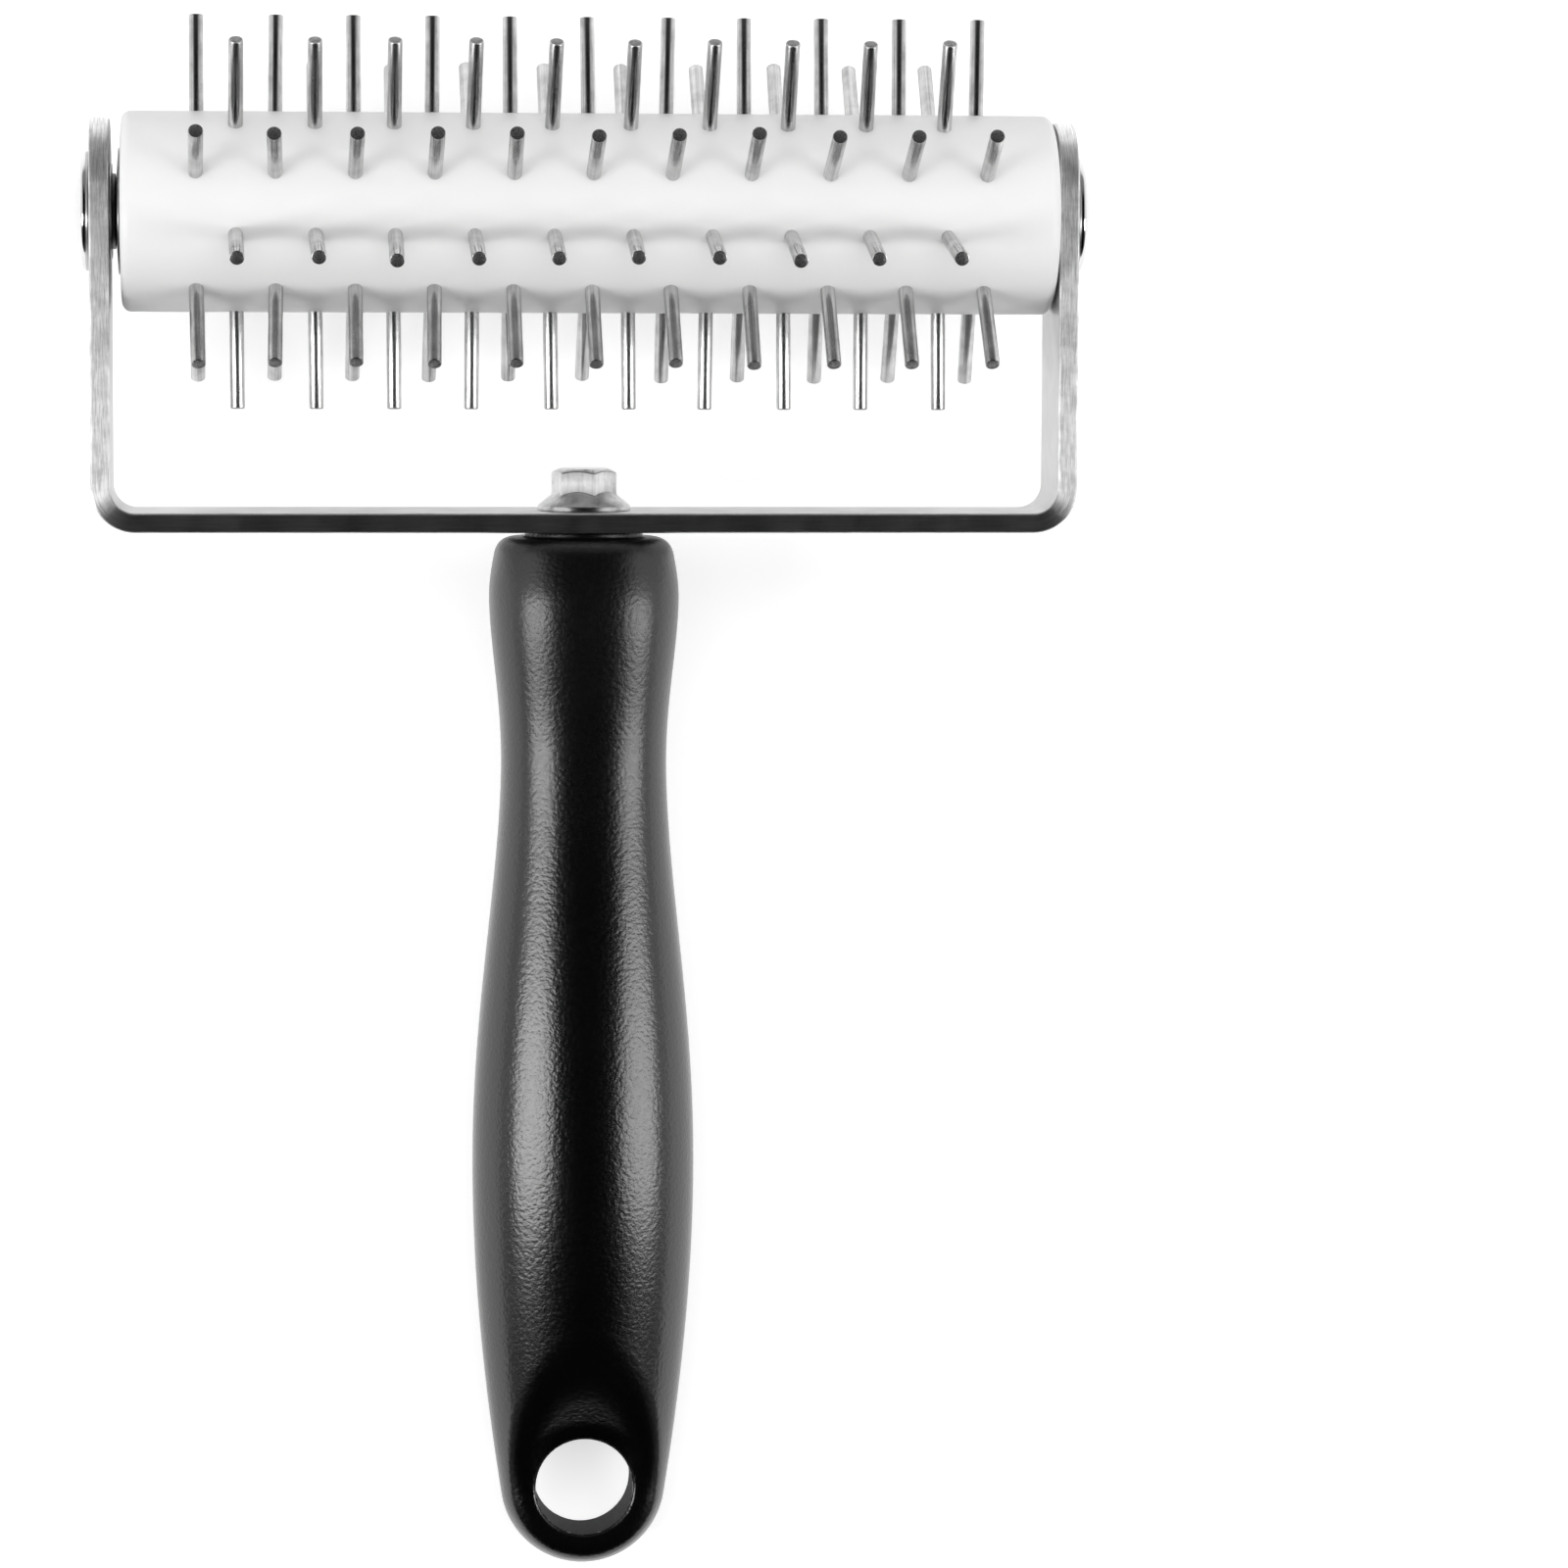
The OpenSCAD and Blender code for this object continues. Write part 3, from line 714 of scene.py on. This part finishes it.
# %% Split spring washer
SPRING_R = 10.3 / 2
SPRING_EDGE = 0.08
SPLIT = 0.8
GRAIN_PER_STEP = 0.3
section = tube(bore, SPRING_R, 0, SPRING_T, SPRING_EDGE, SPRING_EDGE, steps=3)
half_split = math.asin(SPLIT / 2 / SPRING_R)
sweep = np.linspace(half_split, 2 * math.pi - half_split, 73)
points = np.array([(r * math.sin(a), h, -r * math.cos(a)) for a in sweep + math.pi / 2 for r, h in section])
size = len(section)
faces, grain = [], []
for i in range(len(sweep) - 1):
    for k in range(size):
        faces.append(quad(i, i + 1, k, size))
        u, v = i * GRAIN_PER_STEP, (i + 1) * GRAIN_PER_STEP
        grain += [(u, k), (v, k), (v, k + 1), (u, k + 1)]
for end in (list(range(size)), list(range((len(sweep) - 1) * size, len(sweep) * size))):
    faces.append(end)
    grain += [(section[k % size][0], section[k % size][1]) for k in end]
make_piece("split_spring_washer", along_axle(points, -ARM_X + FLAT_T), faces, [spring_steel], "handle",
           "spring_washer", grain)

# %% [markdown]
# ## The bolt
# A flanged hexagon bolt holds the handle to the fork. Its look comes from how the hexagon meets two
# cones: the top chamfer cuts the corners into arcs, and the flange's cone runs up each flat in a
# scallop. Booleans of a prism and cones would give that with messy edges. Here the head is drawn as
# rings round its axis instead: for each direction the hexagon's radius is known, and with it the heights
# at which it meets both cones. The small numbers in the list are the roundings of the edges, and the rows
# on the flats are given the streaked finish, whose lighter grey is a painted highlight. The thread follows
# as rings that wave in and out.

# %% Bolt head and shank
HEX_HALF = 4.0
HEX_CORNER = 0.28
HEX_TURN = 15
HEAD_H = 5.8
FLANGE_R = 6.4
FLANGE_RIM = 0.7
CONE_H = 2.0 + HEX_HALF * (2 / math.sqrt(3) - 1)
TOP_FLAT_R = 3.38
TOP_SLOPE = 0.5
EASED = 0.12
SEAT_EDGE = 0.1
THREAD_R = 3.0
THREAD_PITCH = 1.0
THREAD_DEPTH = 0.3
THREAD_FROM = 1.5
THREAD_FADE = 0.5
THREAD_STEPS = 8
BOLT_LEN = 16.0
POINT_LEN = 1.0
POINT_SHARE = 0.25
FACET_ROWS = range(6, 9)


def hexagon_radius(angle):
    """Radius of a hexagon with rounded corners in each direction."""
    folded = np.mod(angle + math.pi / 6, math.pi / 3) - math.pi / 6
    straight = HEX_HALF / np.cos(folded)
    corner_at = (HEX_HALF - HEX_CORNER) / math.cos(math.pi / 6)
    off = math.pi / 6 - np.abs(folded)
    inside = np.maximum(HEX_CORNER ** 2 - (corner_at * np.sin(off)) ** 2, 0)
    on_arc = corner_at * np.cos(off) + np.sqrt(inside)
    use_arc = np.abs(straight * np.sin(folded)) > corner_at * math.sin(math.pi / 6)
    return np.where(use_arc, on_arc, straight)


steps = np.concatenate([np.linspace(-30, -25, 5)[:-1], np.linspace(-25, 25, 11),
                        np.linspace(25, 30, 5)[1:-1]])
angle = np.radians(np.concatenate([steps + 60 * i for i in range(6)]))
hexagon = hexagon_radius(angle)
cone_slope = (CONE_H - FLANGE_RIM) / (FLANGE_R - HEX_HALF)
meets_top = HEAD_H - (hexagon - TOP_FLAT_R) * TOP_SLOPE
meets_cone = FLANGE_RIM + (FLANGE_R - hexagon) * cone_slope
full = np.ones_like(angle)
head = [(0 * full, HEAD_H * full), (TOP_FLAT_R * 0.6 * full, HEAD_H * full),
        ((TOP_FLAT_R - EASED) * full, HEAD_H * full), ((TOP_FLAT_R + 0.05) * full, (HEAD_H - 0.03) * full),
        (hexagon - EASED, meets_top + EASED * TOP_SLOPE), (hexagon - 0.03, meets_top - 0.02),
        (hexagon, meets_top - EASED), (hexagon, meets_cone * 0.5 + meets_top * 0.5),
        (hexagon, meets_cone + 0.15),
        (hexagon + 0.04, meets_cone + 0.04), (hexagon + 0.16, meets_cone - 0.16 * cone_slope),
        ((hexagon + FLANGE_R) / 2, (meets_cone + FLANGE_RIM) / 2),
        ((FLANGE_R - 0.2) * full, (FLANGE_RIM + 0.2 * cone_slope) * full),
        ((FLANGE_R - 0.03) * full, (FLANGE_RIM - 0.03) * full), (FLANGE_R * full, (FLANGE_RIM - 0.15) * full),
        (FLANGE_R * full, SEAT_EDGE * full), ((FLANGE_R - SEAT_EDGE) * full, 0 * full),
        (THREAD_R * full, 0 * full)]
for step in np.arange(0, BOLT_LEN * THREAD_STEPS + 1) / THREAD_STEPS:
    wave = np.abs(np.mod(step / THREAD_PITCH + angle / (2 * math.pi), 1) - 0.5) * 2
    fade = np.clip((step - THREAD_FROM) / THREAD_FADE, 0, 1)
    point = np.clip((BOLT_LEN - step) / POINT_LEN, 0, 1)
    radius = (THREAD_R - THREAD_DEPTH * wave * fade) * (1 - POINT_SHARE + POINT_SHARE * point)
    head.append((radius, -step * full))
head.append((0 * full, -BOLT_LEN * full))
turned_angle = angle + math.radians(HEX_TURN)
points = np.array([(r * math.cos(a), h, -r * math.sin(a))
                   for rr, hh in head for r, h, a in zip(rr, hh, turned_angle)])
size = len(angle)
# on_facet marks the flats, which get the steel painted lighter: a painted highlight.
faces, grain, on_facet = [], [], []
for i in range(len(head) - 1):
    for k in range(size):
        m = (k + 1) % size
        on_facet.append(1 if i in FACET_ROWS else 0)
        faces.append(quad(i, i + 1, k, size))
        u, v = k * GRAIN_PER_STEP, (k + 1) * GRAIN_PER_STEP
        grain += [(u, head[i][1][k]), (u, head[i + 1][1][k]), (v, head[i + 1][1][m]), (v, head[i][1][m])]
make_piece("flange_bolt", points - (0, BASE_IN_Y, 0), faces, [bolt_steel, facet_steel], "handle",
           "handle_bolt", grain, on_facet)

# %% [markdown]
# ## The threaded insert
# The bolt screws into a brass insert that is moulded into the handle. The fork hides it, but the real
# tool couldn't hold together without it. It is a short tube with a groove that the plastic grips.

# %% Brass insert
INSERT_R = 4.5
INSERT_LEN = 13.0
INSERT_EDGE = 0.2
INSERT_BORE_EDGE = 0.15
GROOVE_HALF = 1.3
GROOVE_DEPTH = 0.45
GROOVE_EDGE = 0.1
mid = INSERT_LEN / 2
bore = THREAD_R + FIT
groove_r = INSERT_R - GROOVE_DEPTH
outline = rounded([(bore, 0, INSERT_BORE_EDGE), (INSERT_R, 0, INSERT_EDGE),
                   (INSERT_R, mid - GROOVE_HALF, GROOVE_EDGE), (groove_r, mid - GROOVE_HALF, GROOVE_EDGE),
                   (groove_r, mid + GROOVE_HALF, GROOVE_EDGE), (INSERT_R, mid + GROOVE_HALF, GROOVE_EDGE),
                   (INSERT_R, INSERT_LEN, INSERT_EDGE), (bore, INSERT_LEN, INSERT_BORE_EDGE)], steps=3)
points, faces, grain = spin(outline, 64)
make_piece("brass_insert", points * (1, -1, 1) - (0, BASE_OUT_Y, 0), faces, [brass], "handle",
           "handle_insert", grain)

# %% [markdown]
# ## The handle
# The handle is the hardest form here: a collar, a neck, a belly, and a round end with a hanging hole
# that lies in a shallow pan with a level floor and sloping walls. The pan runs out into the skin in a
# soft edge that no bevel would give. So the form is written down as a distance field, a rule that says
# for any point how far it is outside the plastic. The first part of the rule is the handle's profile.
# Its section is an oval on the belly and fuller towards the collar, where the sheens lie further out.

# %% The handle's profile
HANDLE_LEN = 143.8
SHOULDER_R = 2.0
SHOULDER_HALF = 12.3
COLLAR_HALF = 13.05
COLLAR_AT = 8.2
NECK_HALF = 11.4
NECK_AT = 31.1
BELLY_HALF = 15.4
BELLY_AT = 87.3
BELLY_DEPTH = 0.86
END_R = 11.5
END_DEPTH = 0.78
SWELL_LEAD = 0.87
COLLAR_FULLNESS = 2.5
HOLE_AT = HANDLE_LEN - END_R
END_JOIN = math.radians(9)
join_at = HOLE_AT + END_R * math.sin(END_JOIN)
join_r = END_R * math.cos(END_JOIN)


def ease(t):
    return (1 - np.cos(np.pi * np.clip(t, 0, 1))) / 2


def blend(a, b, t):
    return a + (b - a) * ease(np.clip(t, 0, None) ** SWELL_LEAD)


def half_width(s):
    """Half width of the handle, seen from above, at a distance s from its top."""
    collar = SHOULDER_HALF + (COLLAR_HALF - SHOULDER_HALF) * np.sin(
        np.pi / 2 * np.clip((s - SHOULDER_R) / (COLLAR_AT - SHOULDER_R), -0.4, 1))
    neck = blend(COLLAR_HALF, NECK_HALF, (s - COLLAR_AT) / (NECK_AT - COLLAR_AT))
    belly = blend(NECK_HALF, BELLY_HALF, (s - NECK_AT) / (BELLY_AT - NECK_AT))
    span = join_at - BELLY_AT
    t = np.clip((s - BELLY_AT) / span, 0, 1)
    narrowing = (join_r - BELLY_HALF) * (3 - 2 * t) * t * t
    tail = BELLY_HALF + narrowing - math.tan(END_JOIN) * span * (t - 1) * t * t
    return np.select([s < COLLAR_AT, s < NECK_AT, s < BELLY_AT], [collar, neck, belly], tail)


def depth_share(s):
    """How deep the handle is for its width: round at the collar, oval from the belly on."""
    return np.where(s < BELLY_AT, 1 + (BELLY_DEPTH - 1) * ease((s - COLLAR_AT) / (BELLY_AT - COLLAR_AT)),
                    BELLY_DEPTH + (END_DEPTH - BELLY_DEPTH) * ease((s - BELLY_AT) / (HOLE_AT - BELLY_AT)))


def fullness(s):
    """The section's exponent: 2 is an oval, and more makes its top and sides flatter."""
    return COLLAR_FULLNESS + (2 - COLLAR_FULLNESS) * ease((s - COLLAR_AT) / (BELLY_AT - COLLAR_AT))


for s in (COLLAR_AT, NECK_AT, BELLY_AT, HOLE_AT):
    print("half width", round(float(half_width(np.array(s))), 2), "mm at", round(s, 1), "mm")

# %% [markdown]
# The second part of the rule joins and cuts. The larger of two distances keeps what lies in both forms,
# and turning a distance's sign turns a form into the space around it, so "larger of body and not hole"
# drills a hole. The soft version rounds the corner where both are nearly equal. In turn the rule rounds
# the top edge, adds the ring that meets the fork, cuts the insert's pocket and the bolt's hole, sinks the
# pan on both faces and drills the hanging hole.

# %% The handle as a distance field
HOLE_R = 6.75
HOLE_WALL = 9.2
HOLE_EDGE = 0.5
PAN_R = 7.5
PAN_WALL = math.radians(33)
PAN_CORNER = 1.5
PAN_EDGE = 2.6
PAN_CLEAR = 0.1
RING_R = 8.1
RING_H = 1.0
RING_EDGE = 0.4
RING_FOOT = 3
RING_JOIN = 0.5
TOP_EDGE = 1.17 * SHOULDER_R
POCKET_LEN = 12
POCKET_EDGE = 0.3
BOLT_HOLE_R = 3.16
BOLT_HOLE_LEN = 13.3
NO_THINNER = 1.0


def soft_max(a, b, width):
    near = np.clip(width - np.abs(a - b), 0, None) / width
    return np.maximum(a, b) + near * near * width / 4


def grip_distance(p):
    """Distance outside the plastic, for points (x, s, z) with s measured from the handle's top to its end."""
    x, s, z = p.T
    inside = np.clip(s, 0, join_at)
    wide = np.maximum(half_width(inside), NO_THINNER)
    deep = wide * depth_share(inside)
    power = fullness(inside)
    shaft = ((np.abs(x / wide) ** power + np.abs(z / deep) ** power) ** (1 / power) - 1) * deep
    d = s - HOLE_AT
    end = (np.sqrt((x * x + d * d) / END_R ** 2 + (z / (END_R * END_DEPTH)) ** 2) - 1) * END_R * END_DEPTH
    body = soft_max(np.where(s < join_at, shaft, end), -s, TOP_EDGE)
    middle = np.hypot(x, z)
    ring = soft_max(soft_max(middle - RING_R, -s - RING_H, RING_EDGE), s - RING_FOOT, RING_EDGE)
    body = -soft_max(-body, -ring, RING_JOIN)
    pocket = np.maximum(middle - INSERT_R - FIT, s - POCKET_LEN)
    body = soft_max(body, -pocket, POCKET_EDGE)
    body = np.maximum(body, -np.maximum(middle - BOLT_HOLE_R, s - BOLT_HOLE_LEN))
    from_hole = np.hypot(x, d)
    above = np.abs(z) - HOLE_WALL / 2 - PAN_CLEAR
    wall = (from_hole - PAN_R) * math.sin(PAN_WALL) - above * math.cos(PAN_WALL)
    body = soft_max(body, -soft_max(wall, -above, PAN_CORNER), PAN_EDGE)
    return soft_max(body, HOLE_R - from_hole, HOLE_EDGE)


print("distance at the middle of the belly", grip_distance(np.array([[0, BELLY_AT, 0.0]])).round(2), "mm")

# %% [markdown]
# A field isn't a mesh yet. Blender's Remesh modifier gives an even net of small squares over the CAD
# solid, and then every point of the net is moved on to the exact surface: it steps along the steepest
# way by as much as the field says that it is off. In between, each point slides towards the middle of
# its neighbours, which keeps the squares regular. The field's slope is also the surface's true normal,
# so the sheen has no facets.

# %% Net over the handle, drawn on to the exact surface
VOXEL = 0.55
NET_WELD = 2e-6
SLOPE_STEP = 0.02
LEAST_STEEP = 0.05
LONGEST_MOVE = 0.5
TINY = 1e-9
FIRST_ROUNDS, LATER_ROUNDS = 10, 2
SMOOTHINGS = 6
SMOOTH_SHARE = 0.5
HANDLE_TOP = BASE_OUT_Y + RING_H


def to_handle(world):
    """Points in metres as (x, s, z) of the field, in millimetres."""
    p = world / MM - axle_at
    y = p[:, 1] * math.cos(tilt) + p[:, 2] * math.sin(tilt)
    z = -p[:, 1] * math.sin(tilt) + p[:, 2] * math.cos(tilt)
    return np.column_stack([p[:, 0], -y - HANDLE_TOP, z])


def slope(p):
    parts = []
    for axis in range(3):
        move = np.zeros(3)
        move[axis] = SLOPE_STEP
        parts.append((grip_distance(p + move) - grip_distance(p - move)) / (2 * SLOPE_STEP))
    return np.column_stack(parts)


def outward(p):
    """The slope as a direction of length 1, which is the surface's normal."""
    g = slope(p)
    return g / np.maximum(np.linalg.norm(g, axis=1, keepdims=True), TINY)


def on_surface(p, rounds):
    for _ in range(rounds):
        g = slope(p)
        steep = np.maximum((g * g).sum(1), LEAST_STEEP)
        move = -(grip_distance(p) / steep)[:, None] * g
        length = np.linalg.norm(move, axis=1, keepdims=True)
        p = p + move * np.minimum(1, LONGEST_MOVE / np.maximum(length, TINY))
    return p


net = frame["nodes"]["handle_grip"].data.copy()
tidy_mesh(net, weld=NET_WELD)
grip = add_object("black_handle", net)
remesh = grip.modifiers.new("even_net", "REMESH")
remesh.mode = "VOXEL"
remesh.voxel_size = VOXEL * MM
mesh = with_modifiers(grip)
grip.modifiers.remove(remesh)
grip.data = mesh
count = len(mesh.vertices)
world = np.zeros(count * 3)
mesh.vertices.foreach_get("co", world)
points = to_handle(world.reshape(-1, 3))
edges = np.zeros(len(mesh.edges) * 2, np.int64)
mesh.edges.foreach_get("vertices", edges)
edges = edges.reshape(-1, 2)
degree = np.bincount(edges.ravel(), minlength=count)[:, None]
points = on_surface(points, FIRST_ROUNDS)
for _ in range(SMOOTHINGS):
    total = np.zeros_like(points)
    for axis in range(3):
        total[:, axis] = (np.bincount(edges[:, 0], points[edges[:, 1], axis], count)
                          + np.bincount(edges[:, 1], points[edges[:, 0], axis], count))
    normal = outward(points)
    slide = (total / degree - points) * SMOOTH_SHARE
    points = on_surface(points + slide - (slide * normal).sum(1, keepdims=True) * normal, LATER_ROUNDS)
off = np.abs(grip_distance(points))
print("handle net", count, "points, at most", round(float(off.max()), 3), "mm off the surface")

# %% Hand the net over as the handle
BORE_SKIN = 0.05
from_top = np.column_stack([points[:, 0], -points[:, 1] - HANDLE_TOP, points[:, 2]])
mesh.vertices.foreach_set("co", in_tool(from_top).ravel())
normal = outward(points)
flipped = np.column_stack([normal[:, 0], -normal[:, 1], normal[:, 2]])
facing = in_tool(flipped) / MM - axle_at
mesh.materials.clear()
mesh.materials.append(black_plastic)
mesh.materials.append(bore_plastic)
middles = np.zeros(len(mesh.polygons) * 3)
mesh.polygons.foreach_get("center", middles)
middles = to_handle(middles.reshape(-1, 3))
in_bore = np.hypot(middles[:, 0], middles[:, 1] - HOLE_AT) < HOLE_R + BORE_SKIN
in_bore &= np.abs(middles[:, 2]) < HOLE_WALL / 2
mesh.polygons.foreach_set("material_index", in_bore.astype(np.int32))
mesh.shade_smooth()
mesh.update()
mesh.normals_split_custom_set_from_vertices(facing.tolist())
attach(grip, "handle")
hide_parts("handle_grip")
print(grip.name, len(mesh.polygons), "faces")

# %% [markdown]
# ## Floor and light
# The tool lies on a plain white table. The table is a large flat sheet whose material adds white of its
# own for the camera and for reflections, but lights no matt surface with it. So it reads as white paper,
# and it still keeps the tool's soft shadow.

# %% White table
TABLE_REACH = 6.0
TABLE_GREY = 0.74
OWN_WHITE = 0.53
corners = [(x * TABLE_REACH, y * TABLE_REACH, 0) for x, y in ((-1, -1), (1, -1), (1, 1), (-1, 1))]
table = bpy.data.meshes.new("table")
table.from_pydata(corners, [], [(0, 1, 2, 3)])
floor = add_object("table", table)
floor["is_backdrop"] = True
paper, tree, shader = new_finish("white_table")
plug(tree, shader, {"Base Color": (TABLE_GREY, TABLE_GREY, TABLE_GREY, 1), "Roughness": 0.9,
                    "Specular IOR Level": 0.0})
rays = node(tree, "ShaderNodeLightPath")
seen = math_node(tree, "MAXIMUM", rays.outputs["Is Camera Ray"], rays.outputs["Is Glossy Ray"])
seen = math_node(tree, "MAXIMUM", seen, rays.outputs["Is Transmission Ray"])
own_level = math_node(tree, "MULTIPLY", seen, OWN_WHITE)
own_white = node(tree, "ShaderNodeEmission", {"Color": (1, 1, 1, 1), "Strength": own_level})
both = node(tree, "ShaderNodeAddShader", {0: shader.outputs["BSDF"], 1: own_white.outputs["Emission"]})
plug(tree, tree.nodes["Material Output"], {"Surface": both.outputs["Shader"]})
table.materials.append(paper)
print("table", 2 * TABLE_REACH, "m wide")

# %% [markdown]
# Shiny things show the room around them, so the room matters as much as the lamps. Here the world is
# pale towards the sides, the back and the horizon, and dark overhead and towards the reader's side. That
# gives the steel its contrast and keeps the middle of the black handle black. Two long soft lamps stand
# left and right and draw the two sheens. White plastic would come out grey under a dark ceiling, so a
# third lamp hangs overhead that is switched off for reflections and lights matt surfaces only. Each part
# of the room is a ramp: where it starts and ends, as part of a direction of length 1, and its two levels.

# %% Room light: pale sides, dark ceiling
SIDES = 0.45, 0.78, 0.0, 0.95
HORIZON = 0.06, 0.25, 0.90, 0.0
FRONT = -0.60, 0.05, 0.08, 1.0
BACK = 0.45, 0.90, 0.0, 0.27
world = bpy.data.worlds.new("studio")
bpy.context.scene.world = world
world.use_nodes = True
tree = world.node_tree
direction = node(tree, "ShaderNodeTexCoord").outputs["Generated"]
towards = node(tree, "ShaderNodeSeparateXYZ", {"Vector": direction}).outputs
sideways = math_node(tree, "ABSOLUTE", towards["X"])
sides = between(tree, sideways, *SIDES, "SMOOTHSTEP")
low = between(tree, towards["Z"], *HORIZON, "SMOOTHSTEP")
front = between(tree, towards["Y"], *FRONT, "SMOOTHSTEP")
back = between(tree, towards["Y"], *BACK, "SMOOTHSTEP")
around_it = math_node(tree, "MULTIPLY", math_node(tree, "MAXIMUM", sides, low), front)
light = math_node(tree, "MAXIMUM", around_it, back)
plug(tree, tree.nodes["Background"], {"Color": (1, 1, 1, 1), "Strength": light})
print("room light from the sides, the back and the horizon")

# %% Two long soft lamps, and one overhead
LAMP_Y = -0.22
AIM_Z = 0.02
LAMP_SIZE = (0.30, 0.76)
SIDE_LAMPS = ("lamp_left", -0.76, 0.66, 4.1), ("lamp_right", 0.81, 0.61, 3.1)
FILL_AT, FILL_AIM = (0, 0.30, 1.40), (0, 0.05, AIM_Z)
FILL_SIZE = (1.5, 1.5)
FILL_WATTS = 12.0


def soft_lamp(name, at, aim, size, watts):
    data = bpy.data.lights.new(name, "AREA")
    data.shape = "ELLIPSE"
    data.size, data.size_y = size
    data.energy = watts
    lamp = add_object(name, data)
    lamp.location = at
    lamp.rotation_mode = "QUATERNION"
    lamp.rotation_quaternion = (Vector(aim) - Vector(at)).to_track_quat("-Z", "Y")
    lamp.visible_camera = False
    return lamp


for name, x, z, watts in SIDE_LAMPS:
    lamp = soft_lamp(name, (x, LAMP_Y, z), (0, LAMP_Y, AIM_Z), LAMP_SIZE, watts)
    print(lamp.name, tuple(round(v, 2) for v in lamp.location))

fill = soft_lamp("lamp_overhead", FILL_AT, FILL_AIM, FILL_SIZE, FILL_WATTS)
fill.visible_glossy = False
print(fill.name, "lights matt surfaces only")

# %% [markdown]
# ## The camera
# The photograph looks down from about 80 cm with a long lens, five degrees off the vertical.
# Its place and lens were worked out from the pins, whose spacing is known: the row nearest the camera
# looks wider apart than the rows at the table.

# %% Camera over the table
LENS = 132.64
SENSOR = 36.0
CAMERA_FROM_ROLLER = np.array([-43.7, -70.9, 792.3])
LOOK_Y, LOOK_X, ROLL = 0.0885545, 0.0093855, 0.0031620
to_camera = Matrix.Rotation(ROLL, 3, "Z") @ Matrix.Rotation(LOOK_X, 3, "X") @ Matrix.Rotation(LOOK_Y, 3, "Y")
camera_data = bpy.data.cameras.new("camera")
camera_data.lens = LENS
camera_data.sensor_width = SENSOR
camera = add_object("camera", camera_data)
camera_at = Vector((roller_at + CAMERA_FROM_ROLLER) * MM)
camera.matrix_world = Matrix.Translation(camera_at) @ to_camera.inverted().to_4x4()
bpy.context.scene.camera = camera
bpy.context.scene.view_settings.view_transform = "Standard"
print("camera at", tuple(round(v, 4) for v in camera.matrix_world.translation))

# %% [markdown]
# ## Last measurements
# The dressed model has to be as large as the CAD model. Both boxes are written down side by side.

# %% Compare the boxes and finish
own_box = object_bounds()
for name, box in (("CAD", cad_box), ("dressed", own_box)):
    print(name, [round((b - a) / MM, 2) for a, b in zip(*box)], "mm")
